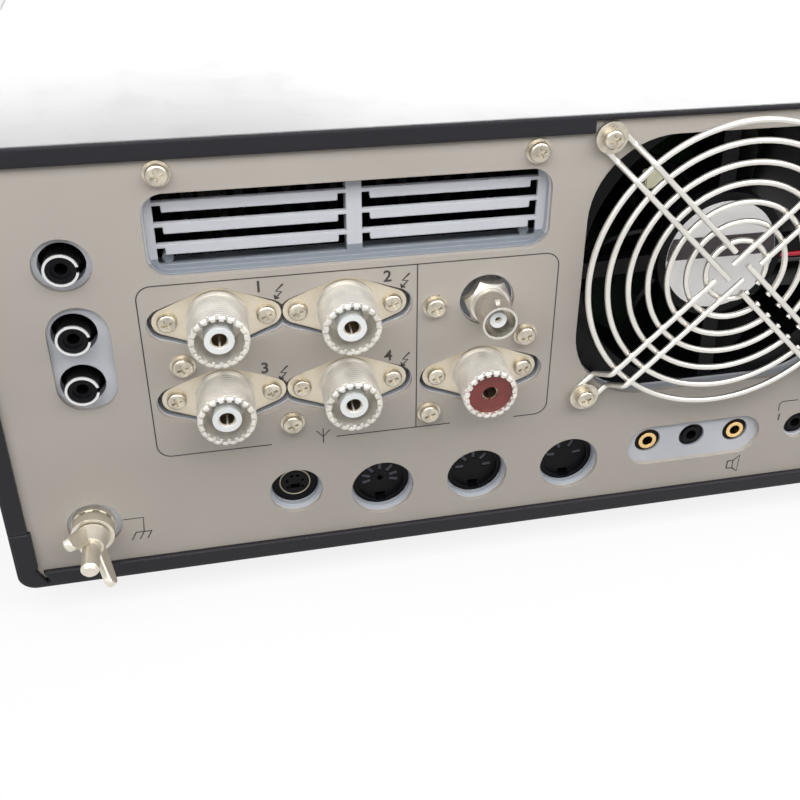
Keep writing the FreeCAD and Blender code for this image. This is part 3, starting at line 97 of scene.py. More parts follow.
# Printing on the rear wall, in millimetres: a box (left, right, bottom, top) with gaps in its lower line,
# its divider (across, bottom, top), zigzags (across, up) and figures (figure, across, up, size)
SOCKET_BOX = (39.1, 154.9, 35.9, 90.7)
SOCKET_BOX_CORNER = 4.0
SOCKET_BOX_GAPS = ((71.2, 90.2), (124.6, 144.5))
SOCKET_BOX_DIVIDER = (114.1, 36.3, 90.7)
INK_WIDTH = 0.32
BOLD_INK_WIDTH = 0.5
INK_HEIGHT = 0.05
ZIGZAGS = ((76.0, 86.0), (110.6, 86.0), (75.9, 60.2), (110.7, 60.5))
FIGURES = (
    ("1", 70.8, 87.8, 4.8), ("2", 105.7, 87.65, 4.8), ("3", 70.9, 62.2, 4.8), ("4", 105.8, 62.2, 4.8),
    ("1", 236.4, 23.1, 3.4),
)

# Front places in millimetres and turns in degrees, as on the solids
KNOBS = ("volume_knob", "squelch_knob", "filter_knob", "drive_knob")
METER_PIVOT = (-93.0, 89.0)
METER_CARD_DEPTH = 8.97
METER_START = 132
METER_SWEEP = -84
# The covers' side screws: height, and place along the set's depth
COVER_SCREWS = ((24.0, -140.0), (24.0, 0.0), (24.0, 140.0), (120.0, -140.0), (120.0, 140.0))


def tint(red, green, blue):
    """A colour, given as it looks on a screen, 0 to 255."""

    def linear(value):
        value /= 255
        return value / 12.92 if value <= 0.04045 else ((value + 0.055) / 1.055) ** 2.4

    return (linear(red), linear(green), linear(blue), 1.0)


# Objects and node trees
def new_object(name, data):
    """An object in the scene's own collection."""
    holder = bpy.data.objects.new(name, data)
    bpy.context.scene.collection.objects.link(holder)
    return holder


def plain_mesh(holder):
    """The mesh that an object comes out as. The object itself is removed."""
    bpy.context.view_layer.update()
    evaluated = holder.evaluated_get(bpy.context.evaluated_depsgraph_get())
    mesh = bpy.data.meshes.new_from_object(evaluated)
    bpy.data.objects.remove(holder)
    return mesh


def empty_tree(owner):
    """The node tree of a material or world, with nothing in it."""
    owner.use_nodes = True
    owner.node_tree.nodes.clear()
    return owner.node_tree


def add(tree, kind, inputs=None, **settings):
    """Adds a node, gives its settings, and sets or joins its inputs."""
    node = tree.nodes.new(kind)
    for name, value in settings.items():
        setattr(node, name, value)
    for key, value in (inputs or {}).items():
        socket = node.inputs[key]
        if isinstance(value, bpy.types.NodeSocket):
            tree.links.new(value, socket)
        else:
            socket.default_value = value
    return node


def maths(tree, operation, first, second=0.0, third=0.0, clamp=False):
    """One operation on numbers or sockets."""
    node = add(tree, "ShaderNodeMath", {0: first, 1: second, 2: third}, operation=operation, use_clamp=clamp)
    return node.outputs[0]


def mix_colours(tree, factor, first, second):
    """Mixes two colours. A mix node's colour sockets are its inputs 6 and 7 and its output 2."""
    node = tree.nodes.new("ShaderNodeMix")
    node.data_type = "RGBA"
    for index, value in ((0, factor), (6, first), (7, second)):
        if isinstance(value, bpy.types.NodeSocket):
            tree.links.new(value, node.inputs[index])
        else:
            node.inputs[index].default_value = value
    return node.outputs[2]


def new_group(name, sockets_in, sockets_out):
    """A shader node group with named inputs (name, kind, default) and outputs (name, kind)."""
    group = bpy.data.node_groups.new(name, "ShaderNodeTree")
    for socket_name, kind, default in sockets_in:
        socket = group.interface.new_socket(socket_name, in_out="INPUT", socket_type=kind)
        socket.default_value = default
    for socket_name, kind in sockets_out:
        group.interface.new_socket(socket_name, in_out="OUTPUT", socket_type=kind)
    return group, group.nodes.new("NodeGroupInput").outputs, group.nodes.new("NodeGroupOutput").inputs


def make_grain_group():
    """Fine surface relief, slow mottling and smudges, all on the object's own coordinates."""
    group, given, result = new_group(
        "grain",
        [("Grain Size", "NodeSocketFloat", 0.4 * MM), ("Mottle Size", "NodeSocketFloat", 30 * MM)],
        [("Height", "NodeSocketFloat"), ("Mottle", "NodeSocketFloat"), ("Smudge", "NodeSocketFloat")],
    )
    place = add(group, "ShaderNodeTexCoord").outputs["Object"]
    grain_scale = maths(group, "DIVIDE", 1.0, given["Grain Size"])
    mottle_scale = maths(group, "DIVIDE", 1.0, given["Mottle Size"])
    pebbles = add(group, "ShaderNodeTexVoronoi", {"Vector": place, "Scale": grain_scale}, feature="SMOOTH_F1")
    dust = add(group, "ShaderNodeTexNoise", {"Vector": place, "Scale": grain_scale, "Detail": 2.0})
    relief = maths(group, "ADD", pebbles.outputs["Distance"], dust.outputs["Fac"])
    group.links.new(maths(group, "MULTIPLY", relief, 0.5), result["Height"])
    mottle = add(group, "ShaderNodeTexNoise", {"Vector": place, "Scale": mottle_scale, "Detail": 4.0})
    group.links.new(mottle.outputs["Fac"], result["Mottle"])
    smudge_scale = maths(group, "MULTIPLY", mottle_scale, 3.0)
    smudge = add(
        group,
        "ShaderNodeTexNoise",
        {"Vector": place, "Scale": smudge_scale, "Detail": 6.0, "Distortion": 0.8},
    )
    limits = {"Value": smudge.outputs["Fac"], "From Min": 0.48, "From Max": 0.72}
    smudge_mask = add(group, "ShaderNodeMapRange", limits)
    group.links.new(smudge_mask.outputs["Result"], result["Smudge"])
    return group


def make_edge_group():
    """A softened normal for sharp edges, and a broken mask of the paint that has rubbed off them."""
    group, given, result = new_group(
        "worn_edges",
        [("Radius", "NodeSocketFloat", 0.3 * MM)],
        [("Normal", "NodeSocketVector"), ("Mask", "NodeSocketFloat")],
    )
    soft = add(group, "ShaderNodeBevel", {"Radius": given["Radius"]}, samples=4)
    flat = add(group, "ShaderNodeNewGeometry")
    normals = {0: soft.outputs["Normal"], 1: flat.outputs["Normal"]}
    agree = add(group, "ShaderNodeVectorMath", normals, operation="DOT_PRODUCT")
    turned = maths(group, "SUBTRACT", 1.0, agree.outputs["Value"])
    place = add(group, "ShaderNodeTexCoord").outputs["Object"]
    breaks = add(group, "ShaderNodeTexNoise", {"Vector": place, "Scale": 260.0, "Detail": 3.0})
    broken = maths(group, "MULTIPLY", turned, breaks.outputs["Fac"])
    mask = add(group, "ShaderNodeMapRange", {"Value": broken, "From Min": 0.06, "From Max": 0.16})
    group.links.new(soft.outputs["Normal"], result["Normal"])
    group.links.new(mask.outputs["Result"], result["Mask"])
    return group


def make_rings_group():
    """Fine turned grooves round an axis that runs along Y."""
    group, given, result = new_group(
        "turned_rings",
        [
            ("Axis X", "NodeSocketFloat", 0.0),
            ("Axis Z", "NodeSocketFloat", 0.0),
            ("Pitch", "NodeSocketFloat", 0.25 * MM),
        ],
        [("Height", "NodeSocketFloat")],
    )
    place = add(group, "ShaderNodeTexCoord").outputs["Object"]
    parts = add(group, "ShaderNodeSeparateXYZ", {"Vector": place}).outputs
    x = maths(group, "SUBTRACT", parts["X"], given["Axis X"])
    z = maths(group, "SUBTRACT", parts["Z"], given["Axis Z"])
    squares = maths(group, "ADD", maths(group, "MULTIPLY", x, x), maths(group, "MULTIPLY", z, z))
    radius = maths(group, "SQRT", squares)
    turns = maths(group, "MULTIPLY", maths(group, "DIVIDE", radius, given["Pitch"]), 2 * math.pi)
    group.links.new(maths(group, "MULTIPLY_ADD", maths(group, "SINE", turns), 0.5, 0.5), result["Height"])
    return group


GRAIN = make_grain_group()
WORN_EDGES = make_edge_group()
TURNED_RINGS = make_rings_group()


def use_group(tree, group, inputs):
    """Uses a group with plain values as its inputs, and returns its outputs."""
    node = tree.nodes.new("ShaderNodeGroup")
    node.node_tree = group
    for name, value in inputs.items():
        node.inputs[name].default_value = value
    return node.outputs


def finish(
    name,
    colour,
    roughness,
    metallic=0.0,
    grain_size=0.4,
    grain_depth=0.01,
    mottle_size=30.0,
    mottle=0.12,
    unevenness=0.16,
    smudge=0.06,
    edge_radius=0.3,
    edge_colour=None,
    edge_wear=0.6,
    rings=None,
    zones=(),
    **shader_values,
):
    """A surface with grain, slow mottling, smudges, softened edges and, where asked, rubbed edges.

    rings is (axis x, axis z, pitch, depth) for turned metal. Each zone is (low corner, high corner, colour,
    roughness), a box in which the piece has another finish or painted shade. Sizes are in millimetres, places
    in metres.
    """
    material = bpy.data.materials.new(name)
    tree = empty_tree(material)
    output = tree.nodes.new("ShaderNodeOutputMaterial")
    shader = tree.nodes.new("ShaderNodeBsdfPrincipled")
    tree.links.new(shader.outputs[0], output.inputs["Surface"])
    grain = use_group(tree, GRAIN, {"Grain Size": grain_size * MM, "Mottle Size": mottle_size * MM})
    edges = use_group(tree, WORN_EDGES, {"Radius": edge_radius * MM})
    centred_mottle = maths(tree, "SUBTRACT", grain["Mottle"], 0.5)
    dark = tuple(channel * (1 - mottle) for channel in colour[:3]) + (1.0,)
    light = tuple(min(1.0, channel * (1 + mottle)) for channel in colour[:3]) + (1.0,)
    mottle_mask = maths(tree, "MULTIPLY_ADD", centred_mottle, 2.0, 0.5, clamp=True)
    body_colour = mix_colours(tree, mottle_mask, dark, light)
    body_roughness = maths(tree, "MULTIPLY_ADD", centred_mottle, unevenness, roughness)
    for low, high, zone_colour, zone_roughness in zones:
        place = add(tree, "ShaderNodeTexCoord").outputs["Object"]
        parts = add(tree, "ShaderNodeSeparateXYZ", {"Vector": place}).outputs
        inside = 1.0
        for axis in range(3):
            above = maths(tree, "GREATER_THAN", parts[axis], low[axis])
            below = maths(tree, "LESS_THAN", parts[axis], high[axis])
            inside = maths(tree, "MULTIPLY", inside, maths(tree, "MULTIPLY", above, below))
        body_colour = mix_colours(tree, inside, body_colour, zone_colour)
        step = maths(tree, "MULTIPLY", inside, zone_roughness - roughness)
        body_roughness = maths(tree, "ADD", body_roughness, step)
    if edge_colour:
        rubbed = maths(tree, "MULTIPLY", edges["Mask"], edge_wear)
        body_colour = mix_colours(tree, rubbed, body_colour, edge_colour)
    body_roughness = maths(tree, "MULTIPLY_ADD", grain["Smudge"], smudge, body_roughness, clamp=True)
    tree.links.new(body_colour, shader.inputs["Base Color"])
    tree.links.new(body_roughness, shader.inputs["Roughness"])
    shader.inputs["Metallic"].default_value = metallic
    relief = maths(tree, "MULTIPLY", grain["Height"], grain_depth * MM)
    if rings:
        axis_x, axis_z, pitch, depth = rings
        turned = use_group(tree, TURNED_RINGS, {"Axis X": axis_x, "Axis Z": axis_z, "Pitch": pitch * MM})
        relief = maths(tree, "MULTIPLY_ADD", turned["Height"], depth * MM, relief)
    bump = add(tree, "ShaderNodeBump", {"Height": relief, "Distance": 1.0, "Normal": edges["Normal"]})
    tree.links.new(bump.outputs["Normal"], shader.inputs["Normal"])
    for socket, value in shader_values.items():
        shader.inputs[socket.replace("_", " ")].default_value = value
    return material


def depth_zone(deepest, nearest, colour, roughness):
    """A zone that takes in all of the rear wall between two depths."""
    far = 1000
    return (rear(far, -far, deepest), rear(-far, far, nearest), colour, roughness)


# The sockets' flanges and the phono jacks' barrels in their own colours; the walls of shallow recesses and
# the ledge over the louvre painted darker, as painted shade
FLANGES = depth_zone(-30, -2.0, tint(226, 216, 196), 0.45)
PHONO_BARRELS = depth_zone(-20, 2.2, tint(26, 26, 28), 0.4)
PAINTED_SHADE_ON_RECESS_WALLS = depth_zone(-3.9, -1.6, tint(160, 164, 172), 0.5)
PAINTED_SHADE_ON_LOUVRE_LEDGE = (rear(155, 90, -14), rear(40, 96.4, -0.4), tint(134, 140, 148), 0.5)

CASE_PAINT = finish(
    "case_paint", tint(34, 33, 38), 0.34, grain_size=0.5, grain_depth=0.01, mottle=0.05, unevenness=0.02,
    smudge=0.02, edge_colour=tint(76, 74, 78), edge_wear=0.3, edge_radius=1.6, Specular_IOR_Level=0.25,
)
REAR_PAINT = finish(
    "rear_paint", tint(174, 167, 159), 0.55, grain_size=0.35, grain_depth=0.014, mottle=0.04, smudge=0.1,
    edge_colour=tint(206, 202, 194), edge_wear=0.5, edge_radius=0.25,
)
# The cast metal is painted darker on its recess walls and on the louvre ledge: painted shade where shade
# falls
CAST_METAL = finish(
    "cast_metal", tint(194, 196, 202), 0.45, grain_size=0.6, grain_depth=0.02, mottle=0.08,
    edge_colour=tint(205, 208, 212), edge_radius=0.4, zones=(PAINTED_SHADE_ON_RECESS_WALLS, PAINTED_SHADE_ON_LOUVRE_LEDGE),
)
SOCKET_NICKEL = finish(
    "socket_nickel", tint(228, 224, 217), 0.42, metallic=0.85, grain_size=0.3, grain_depth=0.012, mottle=0.16,
    mottle_size=5.0, smudge=0.15, edge_colour=tint(238, 236, 230), zones=(FLANGES,), edge_radius=0.2,
)
BRIGHT_NICKEL = finish(
    "bright_nickel", tint(214, 210, 202), 0.24, metallic=1.0, grain_size=0.4, grain_depth=0.004, mottle=0.07,
    edge_radius=0.15,
)
SCREW_NICKEL = finish(
    "screw_nickel", tint(200, 192, 176), 0.28, metallic=1.0, grain_size=0.3, grain_depth=0.006, mottle=0.3,
    mottle_size=2.5, edge_radius=0.15,
)
GUARD_WIRE = finish(
    "guard_wire", tint(226, 223, 216), 0.3, metallic=0.85, grain_size=0.5, grain_depth=0.006, mottle=0.08,
    mottle_size=12.0, edge_radius=0.1,
)
TIN_PLATE = finish(
    "tin_plate", tint(232, 232, 230), 0.3, metallic=0.9, grain_depth=0.004, edge_radius=0.12,
    zones=(PHONO_BARRELS,),
)
GILT = finish("gilt", tint(236, 200, 142), 0.2, metallic=1.0, grain_depth=0.003, edge_radius=0.3)
SILVERED = finish(
    "silvered_contact", tint(196, 186, 166), 0.35, metallic=1.0, grain_depth=0.004, edge_radius=0.12
)
TERMINAL_METAL = finish(
    "nickelled_brass", tint(226, 220, 206), 0.34, metallic=0.9, grain_size=0.3, grain_depth=0.008,
    mottle=0.1, mottle_size=6.0, edge_colour=tint(226, 214, 186), edge_radius=0.2,
)
WAXY_WHITE = finish(
    "waxy_white", tint(240, 240, 238), 0.4, grain_depth=0.004, mottle=0.04, edge_radius=0.2,
    Subsurface_Weight=0.1,
)
RED_BROWN = finish(
    "red_brown_moulding", tint(112, 48, 44), 0.35, grain_size=0.5, grain_depth=0.01, mottle=0.2,
    mottle_size=5.0, edge_radius=0.2,
)
BLACK_MOULDING = finish(
    "black_moulding", tint(10, 10, 13), 0.42, grain_size=0.3, grain_depth=0.006, mottle=0.15,
    edge_colour=tint(40, 40, 44), edge_radius=0.2, Specular_IOR_Level=0.14,
)
FAN_PLASTIC = finish(
    "fan_plastic", tint(8, 8, 11), 0.3, grain_size=0.3, grain_depth=0.004, mottle=0.2,
    edge_colour=tint(34, 34, 40), edge_radius=0.25, Specular_IOR_Level=0.16,
)
SINK_METAL = finish(
    "black_anodised", tint(20, 20, 22), 0.4, metallic=0.4, grain_size=0.3, grain_depth=0.006,
    edge_colour=tint(60, 60, 64), edge_radius=0.25,
)
PLATED_SHEET = finish(
    "plated_sheet", tint(188, 186, 176), 0.36, metallic=1.0, grain_size=2.0, grain_depth=0.006, mottle=0.12,
    mottle_size=14.0, edge_radius=0.3,
)
FRONT_MOULDING = finish(
    "front_moulding", tint(48, 48, 54), 0.5, grain_size=0.3, grain_depth=0.012, mottle=0.06,
    edge_colour=tint(82, 82, 88), edge_wear=0.4, edge_radius=0.4,
)
KNOB_MOULDING = finish(
    "knob_moulding", tint(40, 40, 45), 0.45, grain_size=0.3, grain_depth=0.008, mottle=0.06,
    edge_colour=tint(92, 92, 96), edge_wear=0.5, edge_radius=0.3,
)
BUTTON_MOULDING = finish(
    "button_moulding", tint(92, 92, 98), 0.42, grain_size=0.25, grain_depth=0.006, mottle=0.05,
    edge_colour=tint(140, 140, 144), edge_radius=0.35,
)
POWER_MOULDING = finish(
    "power_button_moulding", tint(70, 70, 76), 0.4, grain_size=0.25, grain_depth=0.006, mottle=0.05,
    edge_colour=tint(120, 120, 124), edge_radius=0.35,
)
SOFT_RUBBER = finish(
    "soft_rubber", tint(28, 28, 30), 0.7, grain_size=0.5, grain_depth=0.02, mottle=0.15,
    edge_colour=tint(58, 58, 60), edge_radius=0.3,
)
LEG_MOULDING = finish(
    "leg_moulding", tint(34, 34, 38), 0.5, grain_depth=0.01, edge_colour=tint(80, 80, 84), edge_radius=0.4
)
BOARD_LACQUER = finish(
    "board_lacquer", tint(34, 84, 52), 0.35, grain_size=1.6, grain_depth=0.02, mottle=0.25, mottle_size=9.0,
    edge_colour=tint(170, 160, 110), edge_radius=0.2,
)
SUPPLY_SHEET = finish(
    "supply_sheet", tint(176, 176, 172), 0.34, metallic=1.0, grain_size=1.2, grain_depth=0.008
)
CONE_PAPER = finish(
    "cone_paper", tint(38, 38, 40), 0.8, grain_size=0.8, grain_depth=0.05, mottle=0.2, mottle_size=8.0
)
RED_SHEATH = finish("red_sheath", tint(196, 36, 58), 0.4, grain_depth=0.004, mottle=0.06, edge_radius=0.1)
BLACK_SHEATH = finish("black_sheath", tint(28, 28, 30), 0.4, grain_depth=0.004, mottle=0.1, edge_radius=0.1)
NEEDLE_RED = finish("needle_red", tint(204, 54, 38), 0.45, grain_depth=0.002, edge_radius=0.05)
CREAM_PAD = finish("cream_pad", tint(206, 204, 176), 0.6, grain_depth=0.02, mottle=0.08)


def print_finish(name, colour, roughness=0.6, mottle=0.1):
    """A printed or paper surface, nearly flat."""
    return finish(name, colour, roughness, grain_size=0.2, grain_depth=0.002, mottle=mottle, edge_radius=0.02)


SCALE_CARD = print_finish("scale_card", tint(236, 224, 188), mottle=0.04)
INK = print_finish("rear_ink", tint(58, 53, 51), mottle=0.2)
PALE_INK = print_finish("front_ink", tint(206, 206, 202))
# Dark ink of the meter scale, also used as painted shade for the cover screws' crosses
DARK_INK_AND_SHADE = print_finish("scale_ink_and_screw_shade", tint(40, 38, 36))
LABEL_PAPER = print_finish("label_paper", tint(250, 249, 250), 0.35, mottle=0.02)
LABEL_BAND = print_finish("label_band", tint(66, 56, 62), 0.4)
PIN_METAL = print_finish("pin_metal", tint(58, 60, 70), 0.4)


def dial_finish(node):
    """Turned metal whose grooves run round the dial's own axis."""
    axis = middle_of(node)
    return finish(
        node + "_metal", tint(62, 62, 66), 0.32, metallic=0.7, grain_depth=0.004, mottle=0.05,
        rings=(axis.x, axis.z, 0.35, 0.004), edge_colour=tint(150, 150, 154), edge_radius=0.4,
    )


MAIN_DIAL_METAL = dial_finish("main_dial")
SUB_DIAL_METAL = dial_finish("sub_dial")
SMOKED_WINDOW = finish(
    "smoked_window", tint(202, 207, 211), 0.05, grain_size=3.0, grain_depth=0.0005, mottle=0.02, smudge=0.05,
    edge_radius=0.3, Transmission_Weight=0.9, IOR=1.45,
)
DISPLAY_FACE = finish("display_face", tint(8, 26, 30), 0.12, grain_size=2.0, grain_depth=0.001, mottle=0.1)
GLOWING_SEGMENTS = finish(
    "glowing_segments", tint(150, 236, 226), 0.4, grain_size=0.5, grain_depth=0.001, mottle=0.05,
    edge_radius=0.05, Emission_Color=tint(120, 240, 228), Emission_Strength=1.2,
)

NODE_FINISHES = {
    CASE_PAINT: ("top_cover", "bottom_cover"),
    REAR_PAINT: ("rear_panel",),
    CAST_METAL: ("rear_casting",),
    PLATED_SHEET: ("chassis", "control_bushings"),
    SINK_METAL: ("heat_sink",),
    FRONT_MOULDING: ("front_panel",),
    MAIN_DIAL_METAL: ("main_dial",),
    SUB_DIAL_METAL: ("sub_dial",),
    KNOB_MOULDING: KNOBS,
    BUTTON_MOULDING: ("mode_button", "band_down_button", "band_up_button", "lock_button"),
    POWER_MOULDING: ("power_button",),
    SMOKED_WINDOW: ("display_window",),
    DISPLAY_FACE: ("display_module",),
    SCALE_CARD: ("meter_movement",),
    NEEDLE_RED: ("meter_needle",),
    SOCKET_NICKEL: (
        "antenna_socket_1", "antenna_socket_2", "antenna_socket_3", "antenna_socket_4",
        "receive_antenna_socket",
    ),
    BRIGHT_NICKEL: ("receive_output_socket", "microphone_socket", "phones_jack"),
    WAXY_WHITE: ("socket_insulators",),
    RED_BROWN: ("receive_insulator",),
    SILVERED: ("socket_contacts",),
    TIN_PLATE: ("phono_jacks",),
    GILT: ("jack_rings",),
    BLACK_MOULDING: (
        "phono_insulators", "mini_jacks", "din_socket_8", "din_socket_5", "din_socket_4", "rotator_socket",
        "mains_inlet", "fuse_drawer", "mains_rocker",
    ),
    TERMINAL_METAL: ("ground_terminal", "wing_nut"),
    SCREW_NICKEL: ("rear_screws",),
    GUARD_WIRE: ("fan_guard",),
    FAN_PLASTIC: ("fan_frame", "fan_rotor"),
    RED_SHEATH: ("fan_lead_red",),
    BLACK_SHEATH: ("fan_lead_black",),
    BOARD_LACQUER: ("main_board", "front_board"),
    SUPPLY_SHEET: ("power_supply",),
    CONE_PAPER: ("speaker",),
    SOFT_RUBBER: ("feet",),
    LEG_MOULDING: ("tilt_leg_left", "tilt_leg_right"),
}

for material, names in NODE_FINISHES.items():
    for node_name in names:
        node_mesh = NODES[node_name].data
        node_mesh.materials.clear()
        node_mesh.materials.append(material)


# Pieces
def piece_from_mesh(name, mesh, material, body):
    """Makes a piece of a mesh and hands it over to the frame."""
    mesh.materials.clear()
    mesh.materials.append(material)
    piece = new_object(name, mesh)
    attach(piece, body)


def piece_from_meshes(name, meshes, material, body):
    """Makes one piece of several meshes."""
    shape = bmesh.new()
    for mesh in meshes:
        shape.from_mesh(mesh)
        bpy.data.meshes.remove(mesh)
    joined = bpy.data.meshes.new(name)
    shape.to_mesh(joined)
    shape.free()
    piece_from_mesh(name, joined, material, body)


def mesh_from_shape(name, shape):
    """The mesh of a built shape, with its faces turned outwards."""
    bmesh.ops.recalc_face_normals(shape, faces=shape.faces[:])
    mesh = bpy.data.meshes.new(name)
    shape.to_mesh(mesh)
    shape.free()
    return mesh


def piece_from_shape(name, shape, material, body):
    """Makes a piece of a built shape."""
    piece_from_mesh(name, mesh_from_shape(name, shape), material, body)


def add_slab(shape, outline, thickness):
    """A plate on a closed outline, thickened along a vector."""
    low = [shape.verts.new(point) for point in outline]
    high = [shape.verts.new(point + thickness) for point in outline]
    shape.faces.new(low)
    shape.faces.new(list(reversed(high)))
    count = len(outline)
    for index in range(count):
        following = (index + 1) % count
        shape.faces.new((low[index], low[following], high[following], high[index]))


def rectangle(place, left, right, bottom, top):
    """The corners of an upright rectangle that faces the front, in millimetres from a place."""
    corners = ((left, bottom), (right, bottom), (right, top), (left, top))
    return [place + Vector((x * MM, 0, z * MM)) for x, z in corners]


def circle_points(centre, radius, count, start=0.0, sweep=2 * math.pi):
    """Points of a circle that stands square to Y."""
    closed = abs(sweep) >= 2 * math.pi - 1e-6
    steps = count if closed else count - 1
    points = []
    for index in range(count):
        angle = start + sweep * index / steps
        points.append(centre + Vector((math.cos(angle), 0, math.sin(angle))) * radius)
    return points


# Geometry node trees
def new_tree(name, sockets):
    """A geometry tree with named inputs (name, kind, default)."""
    tree = bpy.data.node_groups.new(name, "GeometryNodeTree")
    tree.interface.new_socket("Geometry", in_out="INPUT", socket_type="NodeSocketGeometry")
    for socket_name, kind, default in sockets:
        socket = tree.interface.new_socket(socket_name, in_out="INPUT", socket_type=kind)
        if default is not None:
            socket.default_value = default
    tree.interface.new_socket("Geometry", in_out="OUTPUT", socket_type="NodeSocketGeometry")
    return tree, tree.nodes.new("NodeGroupInput").outputs, tree.nodes.new("NodeGroupOutput").inputs


def end_tree(tree, geometry, material, result):
    """Realizes the instances, gives the material and ends the tree."""
    real = add(tree, "GeometryNodeRealizeInstances", {"Geometry": geometry})
    coated = add(tree, "GeometryNodeSetMaterial", {"Geometry": real.outputs[0], "Material": material})
    tree.links.new(coated.outputs[0], result["Geometry"])


def make_ribs_tree():
    """Ribs that stand round a rim, each a rounded bar along the axis."""
    tree, given, result = new_tree(
        "ribs_round_a_rim",
        [
            ("Count", "NodeSocketInt", 60),
            ("Radius", "NodeSocketFloat", 30 * MM),
            ("Rib Radius", "NodeSocketFloat", 0.6 * MM),
            ("Length", "NodeSocketFloat", 8 * MM),
            ("Material", "NodeSocketMaterial", None),
        ],
    )
    rim_size = {"Vertices": given["Count"], "Radius": given["Radius"]}
    rim = add(tree, "GeometryNodeMeshCircle", rim_size, fill_type="NONE")
    rib = add(
        tree,
        "GeometryNodeMeshCylinder",
        {"Vertices": 8, "Side Segments": 1, "Radius": given["Rib Radius"], "Depth": given["Length"]},
    )
    repeat = {"Points": rim.outputs["Mesh"], "Instance": rib.outputs["Mesh"]}
    placed = add(tree, "GeometryNodeInstanceOnPoints", repeat)
    end_tree(tree, placed.outputs["Instances"], given["Material"], result)
    return tree


def make_thread_tree():
    """Thread crests: rings of one size, repeated along the axis."""
    tree, given, result = new_tree(
        "thread_crests",
        [
            ("Count", "NodeSocketInt", THREAD_TURNS),
            ("Pitch", "NodeSocketFloat", 1.06 * MM),
            ("Radius", "NodeSocketFloat", THREAD_RADIUS * MM),
            ("Crest Radius", "NodeSocketFloat", 0.2 * MM),
            ("Material", "NodeSocketMaterial", None),
        ],
    )
    step = add(tree, "ShaderNodeCombineXYZ", {"Z": given["Pitch"]})
    line = add(tree, "GeometryNodeMeshLine", {"Count": given["Count"], "Offset": step.outputs[0]})
    crest = add(tree, "GeometryNodeCurvePrimitiveCircle", {"Resolution": 64, "Radius": given["Radius"]})
    section_size = {"Resolution": 8, "Radius": given["Crest Radius"]}
    section = add(tree, "GeometryNodeCurvePrimitiveCircle", section_size)
    sweep = {"Curve": crest.outputs["Curve"], "Profile Curve": section.outputs["Curve"]}
    ring = add(tree, "GeometryNodeCurveToMesh", sweep)
    repeat = {"Points": line.outputs["Mesh"], "Instance": ring.outputs["Mesh"]}
    placed = add(tree, "GeometryNodeInstanceOnPoints", repeat)
    end_tree(tree, placed.outputs["Instances"], given["Material"], result)
    return tree


def make_marks_tree():
    """Printed marks on an arc, each pointing away from its middle."""
    tree, given, result = new_tree(
        "marks_on_an_arc",
        [
            ("Count", "NodeSocketInt", 11),
            ("Radius", "NodeSocketFloat", 14 * MM),
            ("Start", "NodeSocketFloat", 0.0),
            ("Sweep", "NodeSocketFloat", math.pi),
            ("Mark Length", "NodeSocketFloat", 2 * MM),
            ("Mark Width", "NodeSocketFloat", 0.4 * MM),
            ("Mark Height", "NodeSocketFloat", 0.05 * MM),
            ("Material", "NodeSocketMaterial", None),
        ],
    )
    line = add(tree, "GeometryNodeMeshLine", {"Count": given["Count"], "Offset": (0, 0, 0)})
    index = add(tree, "GeometryNodeInputIndex").outputs[0]
    last = maths(tree, "SUBTRACT", given["Count"], 1.0)
    share = maths(tree, "DIVIDE", index, last)
    angle = maths(tree, "MULTIPLY_ADD", share, given["Sweep"], given["Start"])
    across = maths(tree, "MULTIPLY", maths(tree, "COSINE", angle), given["Radius"])
    up = maths(tree, "MULTIPLY", maths(tree, "SINE", angle), given["Radius"])
    place = add(tree, "ShaderNodeCombineXYZ", {"X": across, "Y": up})
    placing = {"Geometry": line.outputs["Mesh"], "Position": place.outputs[0]}
    moved = add(tree, "GeometryNodeSetPosition", placing)
    sides = {"X": given["Mark Length"], "Y": given["Mark Width"], "Z": given["Mark Height"]}
    size = add(tree, "ShaderNodeCombineXYZ", sides)
    mark = add(tree, "GeometryNodeMeshCube", {"Size": size.outputs[0]})
    turn = add(tree, "ShaderNodeCombineXYZ", {"Z": angle})
    placed = add(
        tree,
        "GeometryNodeInstanceOnPoints",
        {"Points": moved.outputs[0], "Instance": mark.outputs["Mesh"], "Rotation": turn.outputs[0]},
    )
    end_tree(tree, placed.outputs["Instances"], given["Material"], result)
    return tree


def make_ink_tree():
    """Printed lines and painted shade: a thin flat strip along every spline of the curve."""
    tree, given, result = new_tree(
        "ink_and_shade_along_lines",
        [
            ("Width", "NodeSocketFloat", INK_WIDTH * MM),
            ("Height", "NodeSocketFloat", INK_HEIGHT * MM),
            ("Material", "NodeSocketMaterial", None),
        ],
    )
    strip = add(
        tree,
        "GeometryNodeCurvePrimitiveQuadrilateral",
        {"Width": given["Width"], "Height": given["Height"]},
    )
    print_mesh = add(
        tree,
        "GeometryNodeCurveToMesh",
        {"Curve": given["Geometry"], "Profile Curve": strip.outputs["Curve"], "Fill Caps": True},
    )
    end_tree(tree, print_mesh.outputs["Mesh"], given["Material"], result)
    return tree


